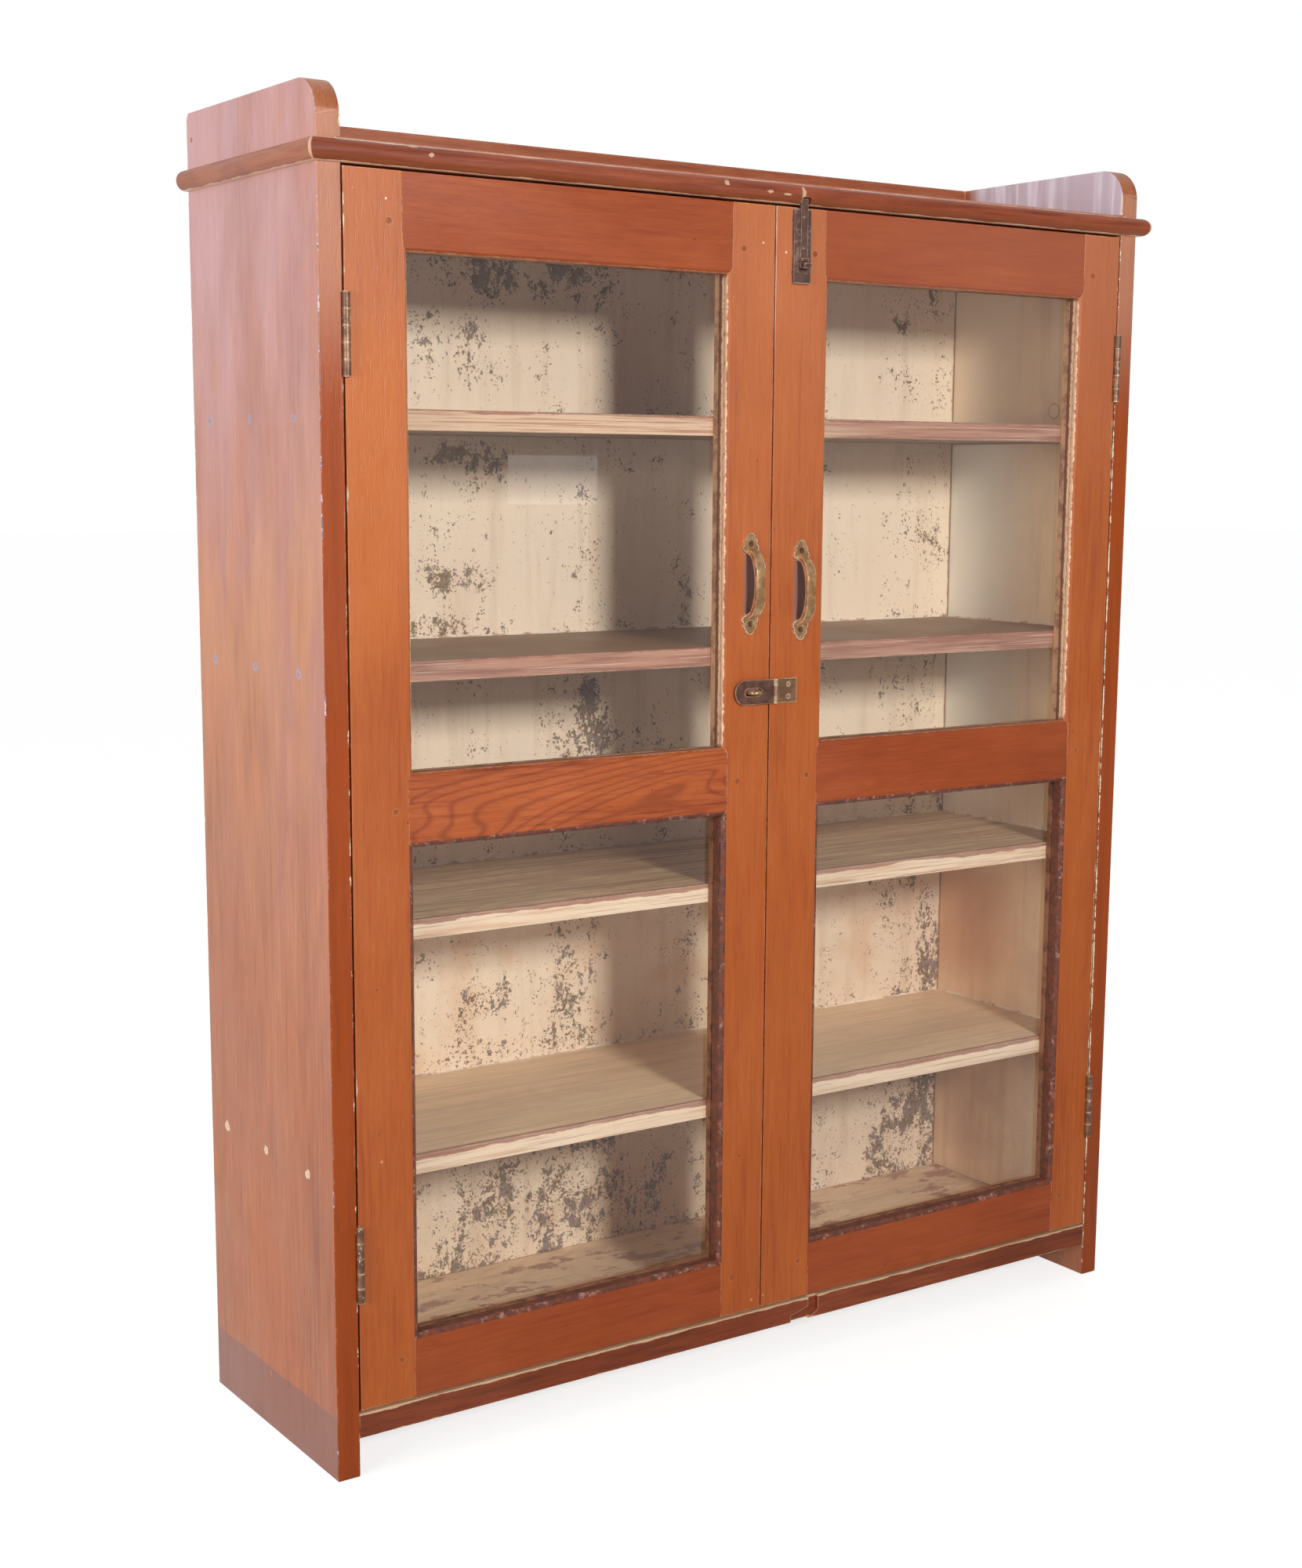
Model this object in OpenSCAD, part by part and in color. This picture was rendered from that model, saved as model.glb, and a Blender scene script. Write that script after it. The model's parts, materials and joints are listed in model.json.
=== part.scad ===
// Two-door glazed display cabinet in hardwood, with a three-sided top gallery,
// four housed shelves, butt-hinged doors, a hasp and staple and a flat slide bolt.
// Lengths are in millimetres, +Z is up and the doors face -Y.
// The origin is the middle of the whole object's footprint, on the floor.

/* [Carcass] */
// Width over the two sides
width = 1040; // [900:1:1300]
// Depth of the sides, front edge to back edge
depth = 288; // [240:1:400]
// Thickness of the sides
side_t = 24; // [20:0.5:30]
// Height of the top board's underside
ceiling_z = 1250; // [1200:1:1500]
// Thickness of the top board
top_t = 22; // [16:0.5:28]
// Height of the gallery above the top board
gallery_h = 53; // [40:1:90]
// Radius of the gallery's front corners
gallery_r = 35; // [10:1:38]
// Radius of the gallery's back corners
gallery_back_r = 8; // [2:0.5:14]
// Thickness of the gallery's back rail
back_rail_t = 22; // [12:0.5:30]
// Height of the bottom board's upper face
floor_z = 68; // [62:1:110]
// Thickness of the bottom board
bottom_t = 20; // [14:0.5:26]
// Height of the plinth rail under the doors
plinth_h = 25; // [16:0.5:26]
// Thickness of the plinth rail
plinth_t = 26; // [18:0.5:30]
// Depth of the housings in the sides
housing_d = 6; // [3:0.5:9]
// Length of the plinth rail's stub tenons
stub_l = 10; // [5:0.5:14]
// Distance of the worn notch in the plinth rail from the meeting line
notch_in = 75; // [40:0.5:100]
// Width of the worn notch across its broken lower edge
notch_w = 24.5; // [16:0.5:34]
// Width of the worn notch's shoulder, up to the doors
notch_top_w = 14; // [8:0.5:24]
// Depth of the worn notch
notch_d = 5; // [2:0.5:9]

/* [Shelves] */
// Heights of the shelves' upper faces, lowest first
shelf_tops = [307, 545, 797, 1035];
// Thickness of the shelves
shelf_t = 20; // [14:0.5:24]
// Gap between the backs of the doors and the shelves' front edges
shelf_gap = 1; // [0.5:0.1:6]

/* [Back] */
// Number of upright back boards
back_count = 5; // [5:1:5]
// Thickness of the back boards
back_t = 9; // [6:0.5:14]
// Width of the back rebate in each side
rebate_w = 10; // [6:0.5:14]
// Gap between neighbouring back boards
back_gap = 0.6; // [0.2:0.1:2]

/* [Top moulding] */
// Height of the half-round moulding
mould_h = 20; // [18:0.5:24]
// How far the moulding stands out from the sides
mould_out = 12.5; // [12.5:0.5:20]

/* [Door frames] */
// Thickness of the doors
door_t = 25; // [23:0.5:30]
// Distance of the meeting line from the cabinet's centre line
meeting_x = -4; // [-20:1:20]
// Gap between a door and the side that it hangs on
hinge_gap = 2; // [2:0.1:3]
// Gap between the two doors
meeting_gap = 2; // [1.5:0.1:3]
// Gap above the doors
top_gap = 2.5; // [1.5:0.1:4]
// Gap between the plinth rail and the doors
bottom_gap = 3.5; // [1:0.1:6]
// How far the doors reach below the bottom board's upper face
door_drop = 0.5; // [0:0.1:2]
// Width of the left door's hinge stile, to the joint line
left_hinge_stile_w = 60; // [54:0.5:80]
// Width of the left door's meeting stile, to the joint line
left_meeting_stile_w = 53; // [50:0.5:80]
// Width of the right door's meeting stile, to the joint line
right_meeting_stile_w = 65; // [56:0.5:80]
// Width of the right door's hinge stile, to the joint line
right_hinge_stile_w = 55; // [54:0.5:80]
// Height of the top rails, to the joint line
top_rail_h = 66; // [50:0.5:90]
// Height of the middle rails, between joint lines
mid_rail_h = 62; // [45:0.5:90]
// Height of the middle rails' lower joint line
mid_rail_z = 626; // [560:1:700]
// Height of the bottom rails, to the joint line
bottom_rail_h = 60; // [50:0.5:90]
// Width of the edge moulding that holds the glass
sticking_w = 5; // [4:0.1:7]
// Chamfer on the edge moulding's front arris
sticking_chamfer = 3; // [1:0.1:3.5]
// Depth of the glass behind the door's front face
glass_set = 15; // [13:0.1:16]
// Thickness of the glass
glass_t = 3; // [2:0.1:4]
// Gap between the glass and its rebate
glass_clear = 0.6; // [0.3:0.1:1.2]
// Length of the rails' tenons
tenon_l = 38; // [20:1:42]
// Thickness of the tenons
tenon_t = 8; // [5:0.5:9]
// Depth of the tenons behind the door's front face
tenon_set = 7; // [7:0.5:8]
// Shoulder above and below each tenon
tenon_shoulder = 9; // [5:0.5:12]
// Radius of the oak pegs
peg_r = 3.2; // [2:0.1:5]
// Length of the pegs
peg_l = 19; // [16:0.5:22]
// Distance of the pegs from the joint line
peg_in = 14; // [9:0.5:16]
// Distance of the outer rails' pegs from those rails' middles, towards the glass
peg_shift = 12; // [0:0.5:14]

/* [Hinges] */
// Height of the hinges' knuckles
hinge_l = 76; // [60:1:100]
// Height of the upper hinges' middles
upper_hinge_z = 1099.5; // [1060:0.5:1120]
// Height of the lower hinges' middles
lower_hinge_z = 217; // [200:0.5:260]
// Distance of the hinge axis in front of the doors
hinge_fwd = 3.5; // [3.5:0.1:4]
// Radius of the knuckles
knuckle_r = 3.7; // [3:0.05:3.75]
// Number of knuckles on a hinge
knuckles = 5; // [3:2:7]
// Width of a leaf, from the axis
leaf_w = 25; // [20:0.5:26]
// Thickness of a leaf
leaf_t = 1.6; // [1.2:0.1:1.6]
// Gap between the closed leaves
leaf_gap = 1; // [0.8:0.1:1.2]
// Radius of the hinge pins
pin_r = 1.6; // [1:0.1:2]

/* [Handles] */
// Height of the left handle's middle
left_handle_z = 863.5; // [820:0.5:900]
// Height of the right handle's middle
right_handle_z = 855.5; // [820:0.5:900]
// Distance of the left handle from the meeting line
left_handle_in = 28; // [20:0.5:32]
// Distance of the right handle from the meeting line
right_handle_in = 39; // [20:0.5:42]
// How far the bow stands out from the door
handle_reach = 22; // [18:0.5:30]
// Distance of each screw from the handle's middle
handle_screw_z = 41.5; // [38:0.5:50]
// Thickness of the bow
bow_t = 5; // [4:0.1:6]
// Width of the bow at its middle
bow_w = 11.5; // [7:0.1:13]
// Width of the bow where it meets a foot
bow_end_w = 9; // [5:0.1:10]
// Length of the bow's front that has its full width
bow_straight = 41; // [30:1:50]
// Radius of the bow's rounded front
bow_front_r = 10; // [7:0.5:20]
// Fullness of the bow's arch: 2 is an ellipse, more is squarer
bow_power = 2.3; // [2:0.1:3]
// Thickness of the feet
foot_t = 2.6; // [2.4:0.1:4]
// Radius of a foot's outer lobe
lobe_r = 5.4; // [5:0.1:6.4]
// Radius of a foot's shoulder lobes
shoulder_r = 3.6; // [3.2:0.1:4.4]
// Radius of a foot's side lobes, beside the bow
ear_r = 4.2; // [3.8:0.1:5]
// Distance from a foot's screw to the root of the bow
bow_root_in = 5; // [4:0.5:7]

/* [Hasp and staple] */
// Height of the hasp's middle
hasp_z = 750; // [720:1:780]
// Distance of the hasp's hinge from the meeting line
hasp_in = 6.4; // [5:0.1:9]
// Height of the strap and of the leaf
hasp_h = 26; // [20:0.5:32]
// Length of the strap from its hinge
strap_l = 53.5; // [48:0.5:65]
// Thickness of the strap and of the leaf
strap_t = 1.8; // [1.4:0.1:2]
// Distance of the hasp's axis in front of the doors
hasp_fwd = 3.1; // [3.1:0.1:3.5]
// Radius of the hasp's knuckles
hasp_knuckle_r = 2.6; // [2.4:0.1:2.7]
// Radius of the hasp's pin
hasp_pin_r = 1.2; // [0.9:0.1:1.4]
// Length of the leaf from the axis
hasp_leaf_l = 29; // [24:0.5:36]
// Distance of the staple from the meeting line
staple_in = 24; // [22:0.5:26]
// Radius of the staple's bend, at the middle of its rod
staple_bend_r = 5.5; // [5:0.1:6.5]
// Radius of the staple's rod
staple_rod_r = 2; // [1.5:0.1:2.2]
// How far the staple stands out from the door
staple_reach = 14; // [13:0.1:18]
// Depth of the staple's legs in the stile
staple_leg = 14; // [8:0.5:18]
// Height of the strap's slot
slot_h = 8; // [6.5:0.1:10]
// Room in the slot beyond the staple
slot_outer = 3; // [3:0.1:5]
// Room in the slot on the hinge side of the staple
slot_inner = 4.5; // [2:0.1:6]

/* [Slide bolt] */
// Distance of the bolt's middle from the meeting line
bolt_in = 32; // [24:0.5:40]
// Width of the channel plate
channel_w = 22; // [18:0.5:26]
// Length of the channel plate
channel_l = 75; // [70:1:90]
// How far the channel stands out from the door
channel_d = 4.4; // [4.4:0.1:6]
// Thickness of the channel's metal
channel_t = 1.4; // [1:0.1:1.6]
// Width of the sliding bar
bar_w = 9; // [8:0.1:14]
// Thickness of the sliding bar
bar_t = 2.4; // [1.6:0.1:3]
// Height of the bar's top above the ceiling line, as stored
bar_rise = 6; // [4:0.5:7]
// Distance from the bar's top to the upper rivet
bar_top_to_rivet = 18.5; // [17.5:0.5:22]
// Distance between the rivets
rivet_pitch = 31; // [26:0.5:34]
// Length of the spikes that hold the channel to the stile
spike_l = 6; // [3:0.5:6]
// Height of the spikes
spike_h = 4; // [2:0.5:6]
// Radius of the rivets' shanks
rivet_r = 1.6; // [1.2:0.1:2]
// How far the bolt still moves up
bolt_up = 4; // [2:0.5:4]
// How far the bolt moves down
bolt_down = 10; // [4:0.5:10]
// How far the thumb lip stands out from the bar
lip_out = 7; // [4:0.5:10]
// Radius of the bend between the bar and its thumb lip
lip_bend_r = 5.2; // [3:0.1:6]
// Distance from the lower rivet down to the thumb lip
lip_drop = 20.5; // [18:0.5:26]
// Distance of the channel's top below the door's top
channel_set = 1.5; // [0.5:0.1:4]
// How far the rivets' heads lap over their shanks
rivet_lap = 1.3; // [1:0.1:1.6]
// Height of the rivets' domed heads
rivet_dome = 1.3; // [0.8:0.1:2]

/* [Nails and screws] */
// Radius of the nail heads
nail_head_r = 2.6; // [2:0.1:4]
// Radius of the nail shanks
nail_r = 1.4; // [1:0.1:2]
// Thickness of the nail heads
nail_head_t = 1.2; // [0.8:0.1:2]
// Length of the nails through the sides
side_nail_l = 44; // [34:1:50]
// Length of the nails through the back boards
back_nail_l = 25; // [18:1:32]
// Distance of the outer side nails from the shelf space's front and back
nail_in = 30; // [12:1:60]
// Radius of the hinge screws' heads
screw_head_r = 3.1; // [2.6:0.1:3.4]
// Radius of the screws' shanks
screw_r = 1.5; // [1.2:0.1:1.6]
// Length of the hinge screws
screw_l = 15; // [10:0.5:18]
// Radius of the handle screws' heads
handle_head_r = 3.4; // [3:0.1:4]
// Width of the slots in the screws' heads
screw_slot_w = 0.9; // [0.6:0.1:1.2]
// Depth of the slots in the screws' heads
screw_slot_d = 0.8; // [0.5:0.1:1.2]

/* [Hidden] */
$fn = 48;
// Running clearance round pins and fasteners
pin_clear = 0.05;
// Clearance between parts that move past each other
move_clear = 0.3;
// Clearance round tenons and at housing ends
joint_clear = 0.2;
// Clearance between the slide bolt's bar and its channel
bar_clear = 0.2;
// Room round the slide bolt's bar in its pocket
pocket_clear = 1.6;
// How far a cutting shape runs past the face that it cuts
over = 1;
front_y = -(depth - handle_reach) / 2;
inner_w = width - 2 * side_t;
inner_x = inner_w / 2;
top_z = ceiling_z + top_t;
total_h = top_z + gallery_h;
shelf_y = door_t + shelf_gap;
back_y = depth - back_t;
door_z0 = floor_z - door_drop;
plinth_top = door_z0 - bottom_gap;
door_z1 = ceiling_z - top_gap;
back_z0 = floor_z - bottom_t;
level_bottoms = concat([floor_z - bottom_t], [for (z = shelf_tops) z - shelf_t], [ceiling_z]);
level_ts = concat([bottom_t], [for (z = shelf_tops) shelf_t], [top_t]);
levels = len(level_ts);
axis_x = inner_x - leaf_t - leaf_gap / 2;
hinge_zs = [lower_hinge_z, upper_hinge_z];
leaf_in = leaf_gap / 2;
leaf_out = leaf_gap / 2 + leaf_t;
zone = hinge_l / knuckles;
screw_zs = [-hinge_l * 0.36, 0, hinge_l * 0.36];
screw_y = leaf_w * 0.56;
channel_top = door_z1 - channel_set;
channel_z0 = channel_top - channel_l;
bar_top = ceiling_z + bar_rise;
rivet_zs = [bar_top - bar_top_to_rivet - rivet_pitch, bar_top - bar_top_to_rivet];
lip_z = rivet_zs[0] - lip_drop;
bar_back = channel_d + bar_clear;
rivet_head_r = rivet_r + rivet_lap;
bow_root = handle_screw_z - bow_root_in;
// Steps round the bow's arch
bow_steps = 36;
hasp_axis_x = meeting_x + hasp_in;
staple_x = meeting_x - staple_in;
staple_half = staple_bend_r + staple_rod_r;

// Numbers of the doors
LEFT = 0;
RIGHT = 1;
// Numbers of the rails, lowest first
BOTTOM = 0;
MID = 1;
TOP = 2;

function door_x0(door) = door == LEFT ? -inner_x + hinge_gap : meeting_x + meeting_gap / 2;
function door_x1(door) = door == LEFT ? meeting_x - meeting_gap / 2 : inner_x - hinge_gap;
function joint_x0(door) = door_x0(door)
    + (door == LEFT ? left_hinge_stile_w : right_meeting_stile_w);
function joint_x1(door) = door_x1(door)
    - (door == LEFT ? left_meeting_stile_w : right_hinge_stile_w);
function rail_z0(rail) = [door_z0, mid_rail_z, door_z1 - top_rail_h][rail];
function rail_z1(rail) = [door_z0 + bottom_rail_h, mid_rail_z + mid_rail_h, door_z1][rail];
function peg_z(rail) = (rail_z0(rail) + rail_z1(rail)) / 2 + [peg_shift, 0, -peg_shift][rail];
function nail_y(i) = shelf_y + nail_in + i * (back_y - shelf_y - 2 * nail_in) / 2;
function level_mid(i) = level_bottoms[i] + level_ts[i] / 2;
function back_board_w() = (inner_w + 2 * rebate_w - (back_count + 1) * back_gap) / back_count;
function back_board_x(i) = -inner_x - rebate_w + back_gap + i * (back_board_w() + back_gap);

// Moves a piece drawn with the doors' front faces at y = 0 to its place
module placed() {
    translate([0, front_y, 0]) children();
}

// Rectangular block given by its low and high corners
module block(low, high) {
    translate(low) cube(high - low);
}

// Rod along +Y from the given point
module rod_y(at, r, length) {
    translate(at) rotate([-90, 0, 0]) cylinder(r = r, h = length);
}

// Countersunk wood screw or its hole: the head's face at z = 0, the shank down -Z
module screw_shape(head_r, r, length, grow) {
    mouth = grow > 0 ? over : 0;
    rotate_extrude() polygon(concat(
        [[0, mouth], [head_r + grow, mouth]],
        grow > 0 ? [[head_r + grow, 0]] : [],
        [[r + grow, -(head_r - r)], [r + grow, -length + r], [0, -length]]
    ));
}

// Slotted countersunk wood screw
module wood_screw(head_r, r, length) {
    difference() {
        screw_shape(head_r, r, length, 0);
        translate([-head_r - over, -screw_slot_w / 2, -screw_slot_d])
            cube([2 * (head_r + over), screw_slot_w, screw_slot_d + over]);
    }
}

// Round-headed cut nail: the head's face at z = 0, the shank down -Z
module nail(length, grow) {
    translate([0, 0, -nail_head_t])
        cylinder(r = nail_head_r + grow, h = nail_head_t + (grow > 0 ? over : 0));
    translate([0, 0, -length - grow]) cylinder(r = nail_r + grow, h = length);
}

// Outline of a side board, front edge at x = 0
module side_outline() {
    low_r = total_h - gallery_r;
    union() {
        square([depth, low_r]);
        translate([gallery_r, low_r - over])
            square([depth - gallery_r, gallery_r + over - gallery_back_r]);
        translate([gallery_r, total_h - gallery_back_r - over])
            square([depth - gallery_r - gallery_back_r, gallery_back_r + over]);
        translate([gallery_r, low_r]) circle(gallery_r);
        translate([depth - gallery_back_r, total_h - gallery_back_r]) circle(gallery_back_r);
    }
}

// Nails through a side, into the ends of the boards, for the side at +X
module side_nail_set(grow) {
    for (i = [0 : levels - 1])
        for (j = [0 : 2])
            translate([inner_x + side_t, nail_y(j), level_mid(i)])
                rotate([0, 90, 0]) nail(side_nail_l, grow);
    translate([inner_x + side_t, depth - back_rail_t / 2, top_z + gallery_h / 2])
        rotate([0, 90, 0]) nail(side_nail_l, grow);
}

// Screws of the leaves on a side, for the side at +X
module side_screw_set(grow) {
    for (z = hinge_zs)
        for (dz = screw_zs)
            translate([axis_x + leaf_in, screw_y - hinge_fwd, z + dz])
                rotate([0, -90, 0]) screw_at_leaf(grow);
}

// Screw through a leaf, solid or as a hole
module screw_at_leaf(grow) {
    if (grow > 0)
        screw_shape(screw_head_r, screw_r, screw_l, grow);
    else
        wood_screw(screw_head_r, screw_r, screw_l);
}

// Side board at +X, with its housings, rebate and fixing holes
module side_board() {
    difference() {
        translate([inner_x, 0, 0]) rotate([90, 0, 90]) linear_extrude(side_t) side_outline();
        block([inner_x - over, back_y, back_z0], [inner_x + rebate_w, depth + over, top_z]);
        for (i = [0 : levels - 1])
            block([inner_x - over, level_front(i), level_bottoms[i]],
                [inner_x + housing_d, back_y + over, level_bottoms[i] + level_ts[i]]);
        block([inner_x - over, plinth_y(), plinth_top - plinth_h + plinth_tenon()],
            [inner_x + stub_l, plinth_t - plinth_y(), plinth_top - plinth_tenon()]);
        side_nail_set(pin_clear);
        side_screw_set(pin_clear);
    }
}

// Front edges of the boards between the sides: only the top board comes to the front
function level_front(i) = i == levels - 1 ? 0 : shelf_y;

// Shoulders of the plinth rail's stub tenon, at its faces and at its edges
function plinth_y() = plinth_t * 0.25;
function plinth_tenon() = plinth_h * 0.2;

module left_side() {
    color("#9c5a3a") placed() mirror([1, 0, 0]) side_board();
}

module right_side() {
    color("#9c5a3a") placed() side_board();
}

// Board between the sides at one level, housed at both ends
module housed_board(i) {
    end_x = inner_x + housing_d - joint_clear;
    difference() {
        block([-end_x, level_front(i), level_bottoms[i]],
            [end_x, back_y, level_bottoms[i] + level_ts[i]]);
        side_nail_set(pin_clear);
        mirror([1, 0, 0]) side_nail_set(pin_clear);
        back_nail_row(i, pin_clear);
    }
}

module top_board() {
    color("#a5633f") placed() housed_board(levels - 1);
}

module bottom_board() {
    color("#cdb48c") placed() housed_board(0);
}

module shelf(i) {
    color("#cdb48c") placed() housed_board(i);
}

// Rail under the doors, with the worn notch where a lower bolt once shot
module plinth_rail() {
    z0 = plinth_top - plinth_h;
    color("#8a4a2e") placed() difference() {
        union() {
            block([-inner_x, 0, z0], [inner_x, plinth_t, plinth_top]);
            block([-inner_x - stub_l + joint_clear, plinth_y(), z0 + plinth_tenon()],
                [inner_x + stub_l - joint_clear, plinth_t - plinth_y(), plinth_top - plinth_tenon()]);
        }
        translate([meeting_x + notch_in, notch_d, z0]) rotate([90, 0, 0])
            linear_extrude(notch_d + over) plinth_notch();
    }
}

// Outline of the worn notch: a shoulder at the right and a broken lower edge at the left
module plinth_notch() {
    high = plinth_h * 0.58;
    low = plinth_h * 0.34;
    polygon([
        [notch_top_w / 2, plinth_h + over], [notch_top_w / 2, low - 1],
        [-notch_top_w / 2 - 1, -over], [-notch_top_w / 2 - notch_w, -over],
        [-notch_top_w / 2 - notch_w, low], [-notch_w / 2 - notch_top_w / 2, low + 2],
        [-notch_top_w / 2, high], [-notch_top_w / 2, plinth_h + over]
    ]);
}

// Upright back board, counted from the left
module back_board(i) {
    x0 = back_board_x(i);
    color("#d8c6a6") placed() difference() {
        block([x0, back_y, back_z0], [x0 + back_board_w(), depth, top_z]);
        for (level = [0 : levels - 1]) back_nail_row(level, pin_clear);
    }
}

// Nails through the back boards into one board's back edge
module back_nail_row(level, grow) {
    for (i = [0 : back_count - 1])
        for (s = [0.2, 0.8])
            translate([back_board_x(i) + s * back_board_w(), depth, level_mid(level)])
                rotate([-90, 0, 0]) nail(back_nail_l, grow);
}

module back_nails() {
    color("#4a4440") placed() for (level = [0 : levels - 1]) back_nail_row(level, 0);
}

module side_nails() {
    color("#4a4440") placed() {
        side_nail_set(0);
        mirror([1, 0, 0]) side_nail_set(0);
    }
}

module back_rail() {
    color("#9c5a3a") placed() difference() {
        block([-inner_x, depth - back_rail_t, top_z], [inner_x, depth, total_h]);
        side_nail_set(pin_clear);
        mirror([1, 0, 0]) side_nail_set(pin_clear);
    }
}

// Half-round section of the moulding: x outwards, y upwards
module mould_section() {
    r = mould_h / 2;
    square([mould_out - r, mould_h]);
    translate([mould_out - r, r]) circle(r);
}

// Pocket that the slide bolt's bar rises into, open to the front at its mouth
module bolt_pocket() {
    x = meeting_x + bolt_in;
    half = bar_w / 2 + pocket_clear;
    back = -bar_back + pocket_clear;
    block([x - half, -mould_out - over, ceiling_z - over], [x + half, back, bar_top + over]);
    block([x - half, -bar_back - bar_t - pocket_clear, ceiling_z - over],
        [x + half, back, bar_top + bolt_up + pocket_clear]);
}

module front_moulding() {
    half = width / 2;
    tip = half + mould_out;
    color("#8f4f31") placed() difference() {
        intersection() {
            translate([-tip, 0, ceiling_z]) rotate([90, 0, 90]) mirror([1, 0, 0])
                linear_extrude(2 * tip) mould_section();
            translate([0, 0, ceiling_z]) linear_extrude(mould_h)
                polygon([[-half, 0], [-tip, -mould_out], [tip, -mould_out], [half, 0]]);
        }
        bolt_pocket();
    }
}

// Moulding along a side at +X, mitred to the front moulding
module side_moulding() {
    half = width / 2;
    intersection() {
        translate([half, depth, ceiling_z]) rotate([90, 0, 0])
            linear_extrude(depth + mould_out) mould_section();
        translate([half, 0, ceiling_z]) linear_extrude(mould_h)
            polygon([[0, 0], [mould_out, -mould_out], [mould_out, depth], [0, depth]]);
    }
}

module left_moulding() {
    color("#8f4f31") placed() mirror([1, 0, 0]) side_moulding();
}

module right_moulding() {
    color("#8f4f31") placed() side_moulding();
}

// Puts a hinge, drawn with its axis at the origin and the side towards +X, in place
module at_hinges(door) {
    mirror([door == LEFT ? 1 : 0, 0, 0])
        for (z = hinge_zs) translate([axis_x, -hinge_fwd, z]) children();
}

// One knuckle of a hinge, counted from below
module knuckle(i) {
    translate([0, 0, -hinge_l / 2 + i * zone + move_clear / 2])
        cylinder(r = knuckle_r, h = zone - move_clear);
}

// Room that the knuckles of the other leaf need
module knuckle_room(i) {
    translate([0, 0, -hinge_l / 2 + i * zone - move_clear / 2])
        cylinder(r = knuckle_r + move_clear, h = zone + move_clear);
}

// Leaf of a butt hinge: dir is 1 for the leaf on the side, -1 for the leaf on the door
module hinge_leaf(dir) {
    first = dir > 0 ? 0 : 1;
    difference() {
        union() {
            mirror([dir > 0 ? 0 : 1, 0, 0])
                block([leaf_in, 0, -hinge_l / 2], [leaf_out, leaf_w, hinge_l / 2]);
            for (i = [first : 2 : knuckles - 1]) knuckle(i);
        }
        for (i = [1 - first : 2 : knuckles - 1]) knuckle_room(i);
        translate([0, 0, -hinge_l / 2 - over]) cylinder(r = pin_r + pin_clear, h = hinge_l + 2 * over);
        for (dz = screw_zs)
            translate([dir * leaf_in, screw_y, dz]) rotate([0, -dir * 90, 0])
                screw_shape(screw_head_r, screw_r, screw_l, pin_clear);
    }
}

module side_hinge_leaves() {
    color("#6d5a48") placed() for (door = [LEFT, RIGHT]) at_hinges(door) hinge_leaf(1);
}

module hinge_pins() {
    color("#5a4a3c") placed() for (door = [LEFT, RIGHT]) at_hinges(door)
        translate([0, 0, -hinge_l / 2]) cylinder(r = pin_r, h = hinge_l);
}

module side_hinge_screws() {
    color("#5a4a3c") placed() {
        side_screw_set(0);
        mirror([1, 0, 0]) side_screw_set(0);
    }
}

module door_hinge_leaves(door) {
    color("#6d5a48") placed() at_hinges(door) hinge_leaf(-1);
}

// Screws that hold a door's leaves to its hinge stile
module door_screw_set(door, grow) {
    at_hinges(door) for (dz = screw_zs)
        translate([-leaf_in, screw_y, dz]) rotate([0, 90, 0]) screw_at_leaf(grow);
}

module door_hinge_screws(door) {
    color("#5a4a3c") placed() door_screw_set(door, 0);
}

// Recess in a door's edge for its leaves, open at the front
module leaf_recess(door) {
    edge = axis_x - (inner_x - hinge_gap);
    at_hinges(door) block([-leaf_out, -over, -hinge_l / 2 - move_clear],
        [-edge + over, leaf_w + move_clear, hinge_l / 2 + move_clear]);
}

// Section of the edge moulding: x away from the joint line, y back from the front
module sticking_section() {
    s = sticking_w;
    c = sticking_chamfer;
    polygon([[0, 0], [s - c, 0], [s, c], [s, glass_set], [0, glass_set]]);
}

// Upright edge moulding between two rails, mitred at both ends; dir is its side of the stile
module upright_sticking(x, dir, z0, z1) {
    translate([x, 0, 0]) mirror([dir > 0 ? 0 : 1, 0, 0]) intersection() {
        translate([0, 0, z0]) linear_extrude(z1 - z0) sticking_section();
        rotate([90, 0, 0]) translate([0, 0, -glass_set]) linear_extrude(glass_set)
            polygon([[0, z0], [sticking_w, z0 + sticking_w], [sticking_w, z1 - sticking_w], [0, z1]]);
    }
}

// Level edge moulding between two stiles, mitred at both ends; dir is 1 above a rail
module level_sticking(z, dir, x0, x1) {
    translate([0, 0, z]) mirror([0, 0, dir > 0 ? 0 : 1]) intersection() {
        translate([x0, 0, 0]) rotate([90, 0, 90]) linear_extrude(x1 - x0)
            rotate(90) mirror([0, 1, 0]) sticking_section();
        rotate([90, 0, 0]) translate([0, 0, -glass_set]) linear_extrude(glass_set)
            polygon([[x0, 0], [x0 + sticking_w, sticking_w], [x1 - sticking_w, sticking_w], [x1, 0]]);
    }
}

// Tenon of one rail, or its mortise when grown; dir is 1 at the rail's right end
module tenon(door, rail, dir, grow) {
    x = dir > 0 ? joint_x1(door) : joint_x0(door);
    translate([x, tenon_set - grow, rail_z0(rail) + tenon_shoulder - grow])
        mirror([dir > 0 ? 0 : 1, 0, 0])
            translate([-over, 0, 0])
                cube([tenon_l + over + grow, tenon_t + 2 * grow,
                    rail_z1(rail) - rail_z0(rail) - 2 * (tenon_shoulder - grow)]);
}

// Pegs through the tenons of a door, or their holes when grown
module peg_set(door, grow) {
    for (rail = [BOTTOM, MID, TOP])
        for (x = [joint_x0(door) - peg_in, joint_x1(door) + peg_in])
            rod_y([x, grow > 0 ? -over : 0, peg_z(rail)], peg_r + grow,
                peg_l + (grow > 0 ? over + grow : 0));
}

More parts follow.
